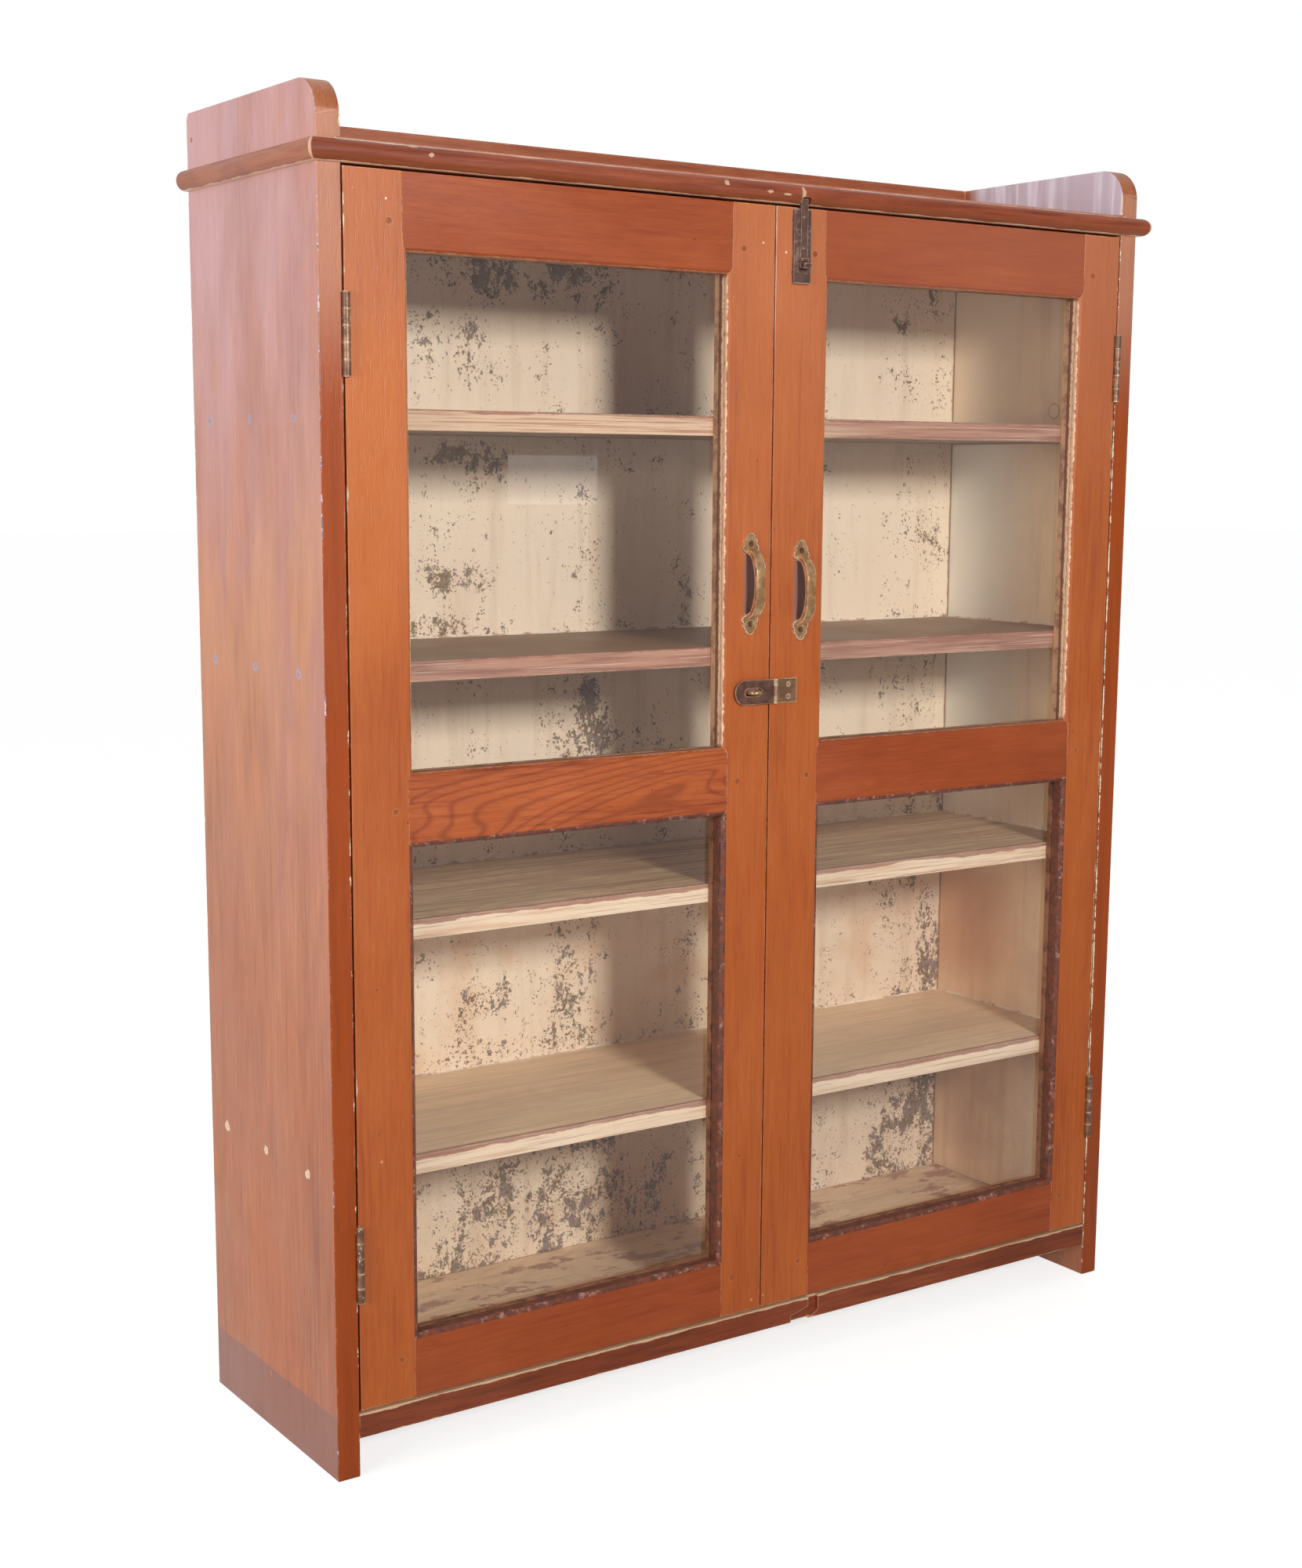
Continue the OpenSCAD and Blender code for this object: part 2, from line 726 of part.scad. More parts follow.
// Stile of a door at its left end (dir 1) or its right end (dir -1)
module stile(door, dir) {
    x0 = dir > 0 ? door_x0(door) : joint_x1(door);
    x1 = dir > 0 ? joint_x0(door) : door_x1(door);
    difference() {
        union() {
            block([x0, 0, door_z0], [x1, door_t, door_z1]);
            for (pane = [0, 1])
                upright_sticking(dir > 0 ? x1 : x0, dir, rail_z1(pane), rail_z0(pane + 1));
        }
        for (rail = [BOTTOM, MID, TOP]) tenon(door, rail, -dir, joint_clear);
        peg_set(door, pin_clear);
    }
}

module left_hinge_stile() {
    color("#b8643c") placed() difference() {
        stile(LEFT, 1);
        leaf_recess(LEFT);
        door_screw_set(LEFT, pin_clear);
    }
}

module left_meeting_stile() {
    color("#b8643c") placed() difference() {
        stile(LEFT, -1);
        handle_screw_set(LEFT, pin_clear);
        staple_shape(pin_clear);
    }
}

module right_meeting_stile() {
    color("#b8643c") placed() difference() {
        stile(RIGHT, 1);
        handle_screw_set(RIGHT, pin_clear);
        hasp_screw_set(pin_clear);
        channel_spikes(pin_clear);
    }
}

module right_hinge_stile() {
    color("#b8643c") placed() difference() {
        stile(RIGHT, -1);
        leaf_recess(RIGHT);
        door_screw_set(RIGHT, pin_clear);
    }
}

// Rail of a door with its tenons and the edge mouldings that border the glass
module door_rail(door, rail) {
    x0 = joint_x0(door);
    x1 = joint_x1(door);
    color("#b05e38") placed() difference() {
        union() {
            block([x0, 0, rail_z0(rail)], [x1, door_t, rail_z1(rail)]);
            tenon(door, rail, 1, 0);
            tenon(door, rail, -1, 0);
            if (rail > BOTTOM) level_sticking(rail_z0(rail), -1, x0, x1);
            if (rail < TOP) level_sticking(rail_z1(rail), 1, x0, x1);
        }
        peg_set(door, pin_clear);
    }
}

module pegs(door) {
    color("#7a4228") placed() peg_set(door, 0);
}

// Glass pane: 0 is the lower one, 1 the upper one
module glass(door, pane) {
    color("#cfd6d2", 0.35) placed()
        block([joint_x0(door) + glass_clear, glass_set, rail_z1(pane) + glass_clear],
            [joint_x1(door) - glass_clear, glass_set + glass_t, rail_z0(pane + 1) - glass_clear]);
}

// Four mitred beads behind one pane, kept apart at the mitres
module bead_ring(door, pane) {
    x0 = joint_x0(door);
    x1 = joint_x1(door);
    z0 = rail_z1(pane);
    z1 = rail_z0(pane + 1);
    w = sticking_w;
    g = joint_clear;
    rotate([90, 0, 0]) translate([0, 0, -door_t]) linear_extrude(door_t - glass_set - glass_t) {
        polygon([[x0, z0 + g], [x0 + w, z0 + w + g], [x0 + w, z1 - w - g], [x0, z1 - g]]);
        polygon([[x1, z0 + g], [x1 - w, z0 + w + g], [x1 - w, z1 - w - g], [x1, z1 - g]]);
        polygon([[x0 + g, z0], [x0 + w + g, z0 + w], [x1 - w - g, z0 + w], [x1 - g, z0]]);
        polygon([[x0 + g, z1], [x0 + w + g, z1 - w], [x1 - w - g, z1 - w], [x1 - g, z1]]);
    }
}

module glazing_beads(door) {
    color("#a3603c") placed() for (pane = [0, 1]) bead_ring(door, pane);
}

function handle_x(door) = door == LEFT ? meeting_x - left_handle_in : meeting_x + right_handle_in;
function handle_z(door) = door == LEFT ? left_handle_z : right_handle_z;

// Outline of a five-lobed foot round its screw, the outer lobe towards +Y; web is how far
// the plate between the lobes reaches into them
module foot_outline() {
    ear = [1.43 * ear_r, -1.05 * ear_r];
    shoulder = [1.35 * shoulder_r, 0.65 * shoulder_r];
    lobe_y = 1.1 * lobe_r;
    web = 0.6;
    translate([0, lobe_y]) circle(lobe_r);
    for (s = [-1, 1]) {
        translate([s * ear[0], ear[1]]) circle(ear_r);
        translate([s * shoulder[0], shoulder[1]]) circle(shoulder_r);
        polygon([
            [0, ear[1] - ear_r], [s * ear[0], ear[1] - ear_r], [s * (ear[0] + ear_r * web), ear[1] * web],
            [s * (shoulder[0] + shoulder_r * web), shoulder[1]],
            [s * lobe_r * web, lobe_y + lobe_r * (1 - web)], [0, lobe_y + lobe_r * (1 - web)]
        ]);
    }
}

// Half of a superellipse over the door: x is the distance from the door, y the height
function arch(reach, half) = [for (i = [0 : bow_steps])
    let (a = 180 * i / bow_steps - 90, k = 2 / bow_power)
    [reach * pow(cos(a), k), half * sign(a) * pow(abs(sin(a)), k)]];

// Side outline of the bow, between two arches one thickness apart
module bow_outline() {
    inner = bow_root - bow_t;
    difference() {
        polygon(arch(handle_reach, bow_root));
        polygon(arch(handle_reach - bow_t, inner));
        translate([-over, -inner]) square([over, 2 * inner]);
    }
}

// Front outline of the bow: full at the middle, waisted at the feet
module bow_front() {
    half = bow_straight / 2;
    end = bow_root + over;
    polygon([
        [-bow_end_w / 2, -end], [bow_end_w / 2, -end], [bow_w / 2, -half], [bow_w / 2, half],
        [bow_end_w / 2, end], [-bow_end_w / 2, end], [-bow_w / 2, half], [-bow_w / 2, -half]
    ]);
}

// Plan section that rounds the bow's front
module bow_round() {
    r = bow_front_r;
    translate([0, -handle_reach + r]) circle(r);
    translate([-r, -handle_reach + r]) square([2 * r, handle_reach]);
}

module handle(door) {
    color("#a08148") placed() translate([handle_x(door), 0, handle_z(door)]) difference() {
        union() {
            intersection() {
                translate([-bow_w, 0, 0]) rotate([90, 0, 90]) linear_extrude(2 * bow_w)
                    mirror([1, 0]) bow_outline();
                rotate([90, 0, 0]) linear_extrude(handle_reach) bow_front();
                translate([0, 0, -bow_root - over]) linear_extrude(2 * (bow_root + over)) bow_round();
            }
            for (s = [0, 1]) mirror([0, 0, s]) translate([0, 0, handle_screw_z])
                rotate([90, 0, 0]) linear_extrude(foot_t) foot_outline();
        }
        for (s = [-1, 1]) translate([0, -foot_t, s * handle_screw_z]) rotate([90, 0, 0])
            screw_shape(handle_head_r, screw_r, foot_t + over + screw_r, pin_clear);
    }
}

// Screws of one handle, or their holes when grown
module handle_screw_set(door, grow) {
    for (s = [-1, 1])
        translate([handle_x(door), -foot_t, handle_z(door) + s * handle_screw_z])
            rotate([90, 0, 0])
                if (grow > 0)
                    screw_shape(handle_head_r, screw_r, foot_t + screw_l, grow);
                else
                    wood_screw(handle_head_r, screw_r, foot_t + screw_l);
}

module handle_screws(door) {
    color("#8a6d3c") placed() handle_screw_set(door, 0);
}

// Staple: a bent rod with two legs in the stile, solid or as holes
module staple_shape(grow) {
    arch_y = -(staple_reach - staple_half);
    translate([staple_x, 0, hasp_z]) {
        if (grow == 0)
            translate([0, arch_y, 0]) rotate([0, 0, 180]) rotate_extrude(angle = 180)
                translate([staple_bend_r, 0]) circle(staple_rod_r);
        for (s = [-1, 1])
            rod_y([s * staple_bend_r, arch_y, 0], staple_rod_r + grow, staple_leg - arch_y + grow);
    }
}

module hasp_staple() {
    color("#8d6f45") placed() staple_shape(0);
}

// Knuckles of the hasp: part 0 is the leaf's two, part 1 the strap's one
module hasp_knuckles(part, grow) {
    z1 = hasp_h / 4;
    gap = part == 0 ? move_clear / 2 - grow : move_clear / 2;
    reach = hasp_h / 2;
    if (part == 1)
        translate([0, 0, -z1 - grow + gap])
            cylinder(r = hasp_knuckle_r + grow, h = 2 * (z1 + grow - gap));
    else
        for (s = [0, 1]) mirror([0, 0, s]) translate([0, 0, z1 + gap])
            cylinder(r = hasp_knuckle_r + grow, h = reach - z1 - gap + grow);
}

module at_hasp() {
    translate([hasp_axis_x, -hasp_fwd, hasp_z]) children();
}

// Bore for the hasp's pin
module hasp_bore() {
    translate([0, 0, -hasp_h / 2 - over]) cylinder(r = hasp_pin_r + pin_clear, h = hasp_h + 2 * over);
}

// Screws of the hasp's leaf, or their holes when grown
module hasp_screw_set(grow) {
    for (s = [-1, 1])
        translate([hasp_axis_x + hasp_leaf_l * 0.62, -strap_t, hasp_z + s * hasp_h * 0.25])
            rotate([90, 0, 0])
                if (grow > 0)
                    screw_shape(screw_head_r, screw_r, strap_t + screw_l, grow);
                else
                    wood_screw(screw_head_r, screw_r, strap_t + screw_l);
}

module hasp_leaf() {
    color("#6d5a48") placed() difference() {
        at_hasp() difference() {
            union() {
                block([0, hasp_fwd - strap_t, -hasp_h / 2], [hasp_leaf_l, hasp_fwd, hasp_h / 2]);
                hasp_knuckles(0, 0);
            }
            hasp_knuckles(1, move_clear);
            hasp_bore();
        }
        hasp_screw_set(pin_clear);
    }
}

module hasp_pin() {
    color("#5a4a3c") placed() at_hasp()
        translate([0, 0, -hasp_h / 2]) cylinder(r = hasp_pin_r, h = hasp_h);
}

module hasp_screws() {
    color("#5a4a3c") placed() hasp_screw_set(0);
}

// Outline of the strap: hinge line at x = 0, rounded free end towards -X, slotted
module strap_outline() {
    r = hasp_h / 2;
    slot_r = slot_h / 2;
    staple_u = staple_x - hasp_axis_x;
    slot_x0 = staple_u - staple_half - slot_outer + slot_r;
    slot_x1 = staple_u + staple_half + slot_inner - slot_r;
    difference() {
        union() {
            translate([-strap_l + r, -r]) square([strap_l - r, hasp_h]);
            translate([-strap_l + r, 0]) circle(r);
        }
        for (x = [slot_x0, slot_x1]) translate([x, 0]) circle(slot_r);
        translate([slot_x0, -slot_r]) square([slot_x1 - slot_x0, slot_h]);
    }
}

module hasp_strap() {
    color("#6d5a48") placed() at_hasp() difference() {
        union() {
            translate([0, strap_t / 2, 0]) rotate([90, 0, 0]) linear_extrude(strap_t) strap_outline();
            hasp_knuckles(1, 0);
        }
        hasp_knuckles(0, move_clear);
        hasp_bore();
    }
}

// Spikes on the channel's flanges, or their sockets when grown
module channel_spikes(grow) {
    x = meeting_x + bolt_in;
    front = grow > 0 ? -over : 0;
    spike_in = channel_l * 0.15;
    for (s = [-1, 1])
        for (z = [channel_z0 + spike_in, channel_top - spike_in]) {
            edge = x + s * (channel_w / 2 - channel_t / 2);
            block([edge - channel_t / 2 - grow, front, z - spike_h / 2 - grow],
                [edge + channel_t / 2 + grow, spike_l + grow, z + spike_h / 2 + grow]);
        }
}

module bolt_plate() {
    x = meeting_x + bolt_in;
    half = channel_w / 2;
    slot_half = rivet_r + move_clear;
    color("#5e5048") placed() difference() {
        union() {
            block([x - half, -channel_d, channel_z0], [x + half, 0, channel_top]);
            channel_spikes(0);
        }
        block([x - half + channel_t, -channel_d + channel_t, channel_z0 - over],
            [x + half - channel_t, over, channel_top + over]);
        for (z = rivet_zs) {
            block([x - slot_half, -channel_d - over, z - bolt_down],
                [x + slot_half, 0, z + bolt_up]);
            for (end = [z - bolt_down, z + bolt_up])
                rod_y([x, -channel_d - over, end], slot_half, channel_d + over);
        }
    }
}

// Side outline of the bar: x is the distance from its back face, y the height
module bar_outline() {
    bend_r = lip_bend_r;
    square_h = bar_top - lip_z - bend_r;
    difference() {
        union() {
            translate([0, bend_r]) square([bar_t, square_h]);
            translate([bend_r, 0]) square([bar_t + lip_out - bend_r, bar_t]);
            translate([bend_r, bend_r]) circle(bend_r);
        }
        translate([bend_r, bend_r]) circle(bend_r - bar_t);
        translate([bend_r, bend_r]) square([bend_r, square_h]);
        translate([bar_t, bar_t]) square([bend_r - bar_t + over, bend_r]);
    }
}

module bolt_bar() {
    x = meeting_x + bolt_in;
    color("#6a5b52") placed() difference() {
        translate([x - bar_w / 2, -bar_back, lip_z]) rotate([90, 0, 90]) linear_extrude(bar_w)
            mirror([1, 0]) bar_outline();
        for (z = rivet_zs)
            rod_y([x, -bar_back - bar_t - over, z], rivet_r + pin_clear, bar_t + 2 * over);
    }
}

// Rivets that hold the bar to the channel: a domed head in front, a flat head behind
module bolt_rivets() {
    x = meeting_x + bolt_in;
    web_back = channel_d - channel_t;
    foot_z = web_back - channel_t - move_clear;
    front = bar_back + bar_t;
    color("#75665c") placed() for (z = rivet_zs)
        translate([x, 0, z]) rotate([90, 0, 0]) rotate_extrude() polygon([
            [0, foot_z], [rivet_head_r, foot_z], [rivet_head_r, web_back - move_clear],
            [rivet_r, web_back - move_clear], [rivet_r, front], [rivet_head_r, front],
            [rivet_head_r * 0.8, front + rivet_dome * 0.6],
            [rivet_head_r * 0.4, front + rivet_dome * 0.9], [0, front + rivet_dome]
        ]);
}

left_side();
right_side();
top_board();
bottom_board();
plinth_rail();
shelf(1);  // shelf_1
shelf(2);  // shelf_2
shelf(3);  // shelf_3
shelf(4);  // shelf_4
back_board(0);  // back_board_1
back_board(1);  // back_board_2
back_board(2);  // back_board_3
back_board(3);  // back_board_4
back_board(4);  // back_board_5
back_rail();
front_moulding();
left_moulding();
right_moulding();
side_nails();
back_nails();
side_hinge_leaves();
hinge_pins();
side_hinge_screws();
left_hinge_stile();
left_meeting_stile();
door_rail(LEFT, TOP);  // left_top_rail
door_rail(LEFT, MID);  // left_mid_rail
door_rail(LEFT, BOTTOM);  // left_bottom_rail
glass(LEFT, 1);  // left_upper_glass
glass(LEFT, 0);  // left_lower_glass
glazing_beads(LEFT);  // left_glazing_beads
pegs(LEFT);  // left_pegs
handle(LEFT);  // left_handle
handle_screws(LEFT);  // left_handle_screws
door_hinge_leaves(LEFT);  // left_door_hinge_leaves
door_hinge_screws(LEFT);  // left_door_hinge_screws
hasp_staple();
right_hinge_stile();
right_meeting_stile();
door_rail(RIGHT, TOP);  // right_top_rail
door_rail(RIGHT, MID);  // right_mid_rail
door_rail(RIGHT, BOTTOM);  // right_bottom_rail
glass(RIGHT, 1);  // right_upper_glass
glass(RIGHT, 0);  // right_lower_glass
glazing_beads(RIGHT);  // right_glazing_beads
pegs(RIGHT);  // right_pegs
handle(RIGHT);  // right_handle
handle_screws(RIGHT);  // right_handle_screws
door_hinge_leaves(RIGHT);  // right_door_hinge_leaves
door_hinge_screws(RIGHT);  // right_door_hinge_screws
hasp_leaf();
hasp_pin();
hasp_screws();
bolt_plate();
hasp_strap();
bolt_bar();
bolt_rivets();
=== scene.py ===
"""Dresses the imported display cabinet: worn varnish, flaked paint, glass and old metal.

Lengths are metres in the row frame. The doors face -Y, +X is to the right and +Z is up.
Colours are written as sRGB triples from 0 to 255, as the eye reads them.
"""
import json
import logging
import math
from dataclasses import dataclass
from enum import Enum
from functools import reduce
from typing import Callable, Dict, Optional, Sequence, Tuple, Union

import bmesh
import bpy
import numpy as np
from mathutils import Matrix, Vector

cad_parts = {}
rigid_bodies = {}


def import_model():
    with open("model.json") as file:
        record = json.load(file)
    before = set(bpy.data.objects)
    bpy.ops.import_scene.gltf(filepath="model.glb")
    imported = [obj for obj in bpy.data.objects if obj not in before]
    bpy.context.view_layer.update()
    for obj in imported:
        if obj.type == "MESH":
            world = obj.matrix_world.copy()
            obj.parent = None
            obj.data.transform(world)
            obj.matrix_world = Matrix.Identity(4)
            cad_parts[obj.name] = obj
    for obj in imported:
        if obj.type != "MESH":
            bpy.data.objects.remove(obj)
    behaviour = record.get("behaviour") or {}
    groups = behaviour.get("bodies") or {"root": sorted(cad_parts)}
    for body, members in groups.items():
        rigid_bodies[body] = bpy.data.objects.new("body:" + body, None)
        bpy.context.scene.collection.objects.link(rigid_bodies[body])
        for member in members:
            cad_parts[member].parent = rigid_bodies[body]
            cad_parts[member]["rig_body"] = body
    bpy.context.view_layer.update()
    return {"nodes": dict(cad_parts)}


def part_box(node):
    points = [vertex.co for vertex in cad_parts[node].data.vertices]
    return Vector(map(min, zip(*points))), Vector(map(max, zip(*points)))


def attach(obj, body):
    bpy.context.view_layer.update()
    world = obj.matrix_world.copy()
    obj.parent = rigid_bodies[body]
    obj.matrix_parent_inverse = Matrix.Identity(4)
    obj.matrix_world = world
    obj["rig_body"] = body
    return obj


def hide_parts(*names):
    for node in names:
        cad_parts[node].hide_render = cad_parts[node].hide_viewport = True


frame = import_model()

LOG = logging.getLogger("cabinet")
MM = 0.001

Triple = Tuple[float, float, float]
Colour = Triple
Oval = Tuple[float, float, float, float]
Socket = bpy.types.NodeSocket
Material = bpy.types.Material
Value = Union[float, "Field"]
Points = np.ndarray


class Grain(Enum):
    """Direction in which the grain of a board runs, as the index of the row frame's axis."""

    ALONG_X = 0
    ALONG_Y = 1
    ALONG_Z = 2


class Effect(Enum):
    """Shader node groups that more than one material uses."""

    FIGURE = "wood_figure"
    WEAR = "arris_wear"
    FLAKES = "paint_flakes"
    SPECKS = "specks"


def linear(colour: Colour) -> Tuple[float, float, float, float]:
    """Turns an sRGB triple into linear light.

    Args:
        colour: Red, green and blue from 0 to 255.

    Returns:
        Linear red, green, blue and an alpha of 1.
    """
    c = np.asarray(colour, float) / 255.0
    low = c / 12.92
    high = ((c + 0.055) / 1.055) ** 2.4
    return (*np.where(c <= 0.04045, low, high).tolist(), 1.0)


class Field:
    """A value that changes over a surface, with the sums that masks are made of."""

    def __init__(self, g: "Graph", socket: Socket) -> None:
        """Keeps the graph that works the value out, and the socket that it comes from."""
        self.g = g
        self.socket = socket

    def __add__(self, other: Value) -> "Field":
        """The sum."""
        return self.g.math("ADD", self, other)

    def __radd__(self, other: float) -> "Field":
        """The sum, with a plain number first."""
        return self.g.math("ADD", other, self)

    def __sub__(self, other: Value) -> "Field":
        """The difference."""
        return self.g.math("SUBTRACT", self, other)

    def __rsub__(self, other: float) -> "Field":
        """The difference from a plain number."""
        return self.g.math("SUBTRACT", other, self)

    def __mul__(self, other: Value) -> "Field":
        """The product, without limits."""
        return self.g.math("MULTIPLY", self, other)

    def __truediv__(self, other: Value) -> "Field":
        """The quotient."""
        return self.g.math("DIVIDE", self, other)

    def __gt__(self, other: float) -> "Field":
        """Gives 1 where the value is above a plain number."""
        return self.g.math("GREATER_THAN", self, other)

    def __abs__(self) -> "Field":
        """The value without its sign."""
        return self.g.math("ABSOLUTE", self)


class Graph:
    """A node tree with short calls for the nodes that the finishes use."""

    def __init__(self, tree: bpy.types.NodeTree, at: Optional[Socket] = None) -> None:
        """Keeps the tree, and the position that its patterns read."""
        self.tree = tree
        self.at = at

    def feed(self, socket: Socket, value: object) -> None:
        """Links a socket, or sets a plain value on it.

        Args:
            socket: The input.
            value: A field, a socket, a number, a vector, or an sRGB triple for a colour.
        """
        value = value.socket if isinstance(value, Field) else value
        if isinstance(value, Socket):
            self.tree.links.new(value, socket)
        else:
            socket.default_value = linear(value) if socket.type == "RGBA" else value

    def add(self, kind: str, settings: Optional[Dict[str, object]] = None, *values: object,
            **inputs: object) -> bpy.types.Node:
        """Adds a node.

        Args:
            kind: The node's type, without the word ShaderNode.
            settings: Its properties.
            values: What its first inputs get, in order.
            inputs: What inputs get by name, with an underscore for a space.

        Returns:
            The node.
        """
        node = self.tree.nodes.new("ShaderNode" + kind)
        for name, value in (settings or {}).items():
            setattr(node, name, value)
        for socket, value in zip(node.inputs, values):
            self.feed(socket, value)
        for name, value in inputs.items():
            self.feed(node.inputs[name.replace("_", " ")], value)
        return node

    def math(self, operation: str, a: Value, b: Value = 0.0, clamp: bool = False) -> Field:
        """One sum of two values, held between 0 and 1 where clamp is set."""
        settings = {"operation": operation, "use_clamp": clamp}
        return Field(self, self.add("Math", settings, a, b).outputs[0])

    def product(self, *values: Value) -> Value:
        """The product of values, held between 0 and 1."""
        return reduce(lambda a, b: self.math("MULTIPLY", a, b, True), values)

    def most(self, *values: Value) -> Value:
        """The highest of some values."""
        return reduce(lambda a, b: self.math("MAXIMUM", a, b), values)

    def off(self, value: Field, *marks: float) -> Field:
        """How far a value lies from the nearest of some marks."""
        return reduce(lambda a, b: self.math("MINIMUM", a, b), [abs(value - mark) for mark in marks])

    def apart(self, a: Field, b: Field) -> Field:
        """The length of a step that goes a one way and b across it."""
        return self.math("SQRT", a * a + b * b)

    def fade(self, value: Value, start: float, end: float) -> Field:
        """Rises smoothly from 0 at start to 1 at end, which may be the lower of the two."""
        ends = (0.0, 1.0) if start <= end else (1.0, 0.0)
        return Field(self, self.add("MapRange", {"interpolation_type": "SMOOTHSTEP"}, Value=value,
                                    From_Min=min(start, end), From_Max=max(start, end),
                                    To_Min=ends[0], To_Max=ends[1]).outputs["Result"])

    def between(self, value: Value, low: float, high: float, soft: float = 0.2 * MM) -> Field:
        """Gives 1 between two limits, and falls to 0 over a soft width outside them."""
        return self.product(self.fade(value, low - soft, low), self.fade(value, high + soft, high))

    def moved(self, stretch: Triple, shift: Triple) -> Socket:
        """The position, scaled on each axis and then shifted."""
        return self.add("Mapping", None, self.at, Scale=stretch, Location=shift).outputs[0]

    def noise(self, scale: float, detail: float = 2.0, roughness: float = 0.5, distortion: float = 0.0,
              stretch: Optional[Triple] = None, shift: Triple = (0.0, 0.0, 0.0)) -> Field:
        """Smooth noise about 0.5.

        Args:
            scale: How many features there are to a unit.
            detail: How many finer layers are added.
            roughness: How strong the finer layers are.
            distortion: How far the pattern is pushed about.
            stretch: Factor for each axis of the position.
            shift: What is added to the stretched position.

        Returns:
            The noise.
        """
        at = self.moved(stretch, shift) if stretch else self.at
        return Field(self, self.add("TexNoise", None, Vector=at, Scale=scale, Detail=detail,
                                    Roughness=roughness, Distortion=distortion).outputs[0])

    def jitter(self, scale: float, reach: float, detail: float = 3.0,
               stretch: Optional[Triple] = None) -> Field:
        """Noise about zero, for ragged borders. reach is the height of its full range."""
        return (self.noise(scale, detail, 0.65, stretch=stretch) - 0.5) * reach

    def blend(self, factor: Value, a: object, b: object, mode: str = "MIX") -> Socket:
        """Mixes two colours, given as sockets or sRGB triples.

        Args:
            factor: Share of the second colour.
            a: First colour.
            b: Second colour.
            mode: The Mix node's blend type.

        Returns:
            The mixed colour.
        """
        node = self.add("Mix", {"data_type": "RGBA", "blend_type": mode, "clamp_factor": True})
        for index, value in ((0, factor), (6, a), (7, b)):
            self.feed(node.inputs[index], value)
        return node.outputs[2]

    def over(self, colour: object, *layers: Sequence[object]) -> Socket:
        """Lays colours over a first one.

        Args:
            colour: The first colour.
            layers: Each layer's colour, followed by the masks whose product is its share.

        Returns:
            The colour on top.
        """
        for tint, *masks in layers:
            colour = self.blend(self.product(*masks), colour, tint)
        return colour

    def parts(self) -> Tuple[Field, ...]:
        """The three coordinates of the position."""
        return tuple(Field(self, part) for part in self.add("SeparateXYZ", None, self.at).outputs)

    def seen(self) -> Field:
        """Gives 1 to the camera, also where it looks through glass."""
        path = self.add("LightPath").outputs
        return self.math("MAXIMUM", path["Is Camera Ray"], path["Is Transmission Ray"])

    def effect(self, kind: Effect, **inputs: object) -> Dict[str, Field]:
        """Places a shared group on the position, and gives its outputs by name."""
        node = self.add("Group", {"node_tree": effect_tree(kind)}, **{"Vector": self.at, **inputs})
        return {socket.name: Field(self, socket) for socket in node.outputs}


def figure(g: Graph, rings: Field) -> Tuple[Field, ...]:
    """Wood with its grain along X.

    Tone is slow noise stretched along the grain. Bands are the contour lines of a slower
    noise, as a saw lays growth rings open. Pores are the peaks of very fine long noise.

    Args:
        g: The group's graph.
        rings: How many contour lines the slow noise has.

    Returns:
        Tone, band, pores and height.
    """
    slow = g.noise(1.0, 5.0, 0.62, stretch=(3.0, 22.0, 22.0))
    streak = g.noise(1.0, 5.0, 0.68, stretch=(11.0, 240.0, 240.0), shift=(7.0, 0.0, 3.0))
    contour = g.noise(1.0, 2.6, 0.5, 0.5, stretch=(1.5, 7.0, 7.0), shift=(2.0, 5.0, 1.0))
    wave = (g.math("SINE", contour * (rings * math.tau)) + 1.0) * 0.5
    pores = g.fade(g.noise(1.0, 3.0, 0.62, stretch=(48.0, 520.0, 520.0)), 0.52, 0.66)
    return slow * 0.5 + streak * 0.5, g.math("POWER", wave, 5.0), pores, streak * 0.7 - pores * 0.6


def wear(g: Graph, reach: Field, amount: Field) -> Tuple[Field, ...]:
    """Worn arrises: how near an outward edge is, broken up by noise.

    Rays sent into the solid meet the next face only near an outward edge.

    Args:
        g: The group's graph.
        reach: How far the rays go.
        amount: How much is worn, above or below 0.

    Returns:
        The mask.
    """
    near = g.add("AmbientOcclusion", {"inside": True, "only_local": True, "samples": 6}, Distance=reach)
    edge = g.fade(Field(g, near.outputs["AO"]), 0.97, 0.45)
    rag = g.noise(38.0, 4.0, 0.62) * 0.70 + g.noise(260.0, 3.0, 0.6) * 0.42
    raised = edge * 0.62 + rag + amount
    return (g.product(g.fade(raised, 1.02, 1.10), g.fade(edge, 0.02, 0.25)),)


def flakes(g: Graph, density: Field) -> Tuple[Field, ...]:
    """Paint that has flaked off: ragged patches, chips round them and small dots.

    Each layer is noise of its own size that is cut off at a level. More density lowers it.

    Args:
        g: The group's graph.
        density: How much has flaked off.

    Returns:
        Patch, rim, dots and layer.
    """
    big = g.noise(30.0, 9.0, 0.74, 0.3, stretch=(1.0, 1.0, 0.7))
    islands = g.jitter(95.0, 0.30, 6.0, (1.0, 1.0, 0.8))
    level = big + islands + g.jitter(520.0, 0.07) + density
    patch = g.fade(level, 0.664, 0.680)
    near = g.fade(level, 0.50, 0.66)
    small = (g.noise(120.0, 5.0, 0.7, stretch=(1.0, 1.0, 0.75), shift=(5.0, 2.0, 1.0))
             + density * 0.6 + near * 0.05 + g.jitter(12.0, 0.16))
    tiny = g.noise(360.0, 3.0, 0.55) + near * 0.12 + density * 0.35 + g.jitter(15.0, 0.24)
    return (g.most(patch, g.fade(small, 0.680, 0.694)),
            g.math("SUBTRACT", g.fade(level, 0.640, 0.664), patch, True),
            g.fade(tiny, 0.698, 0.720), g.noise(30.0, 4.0, 0.65))


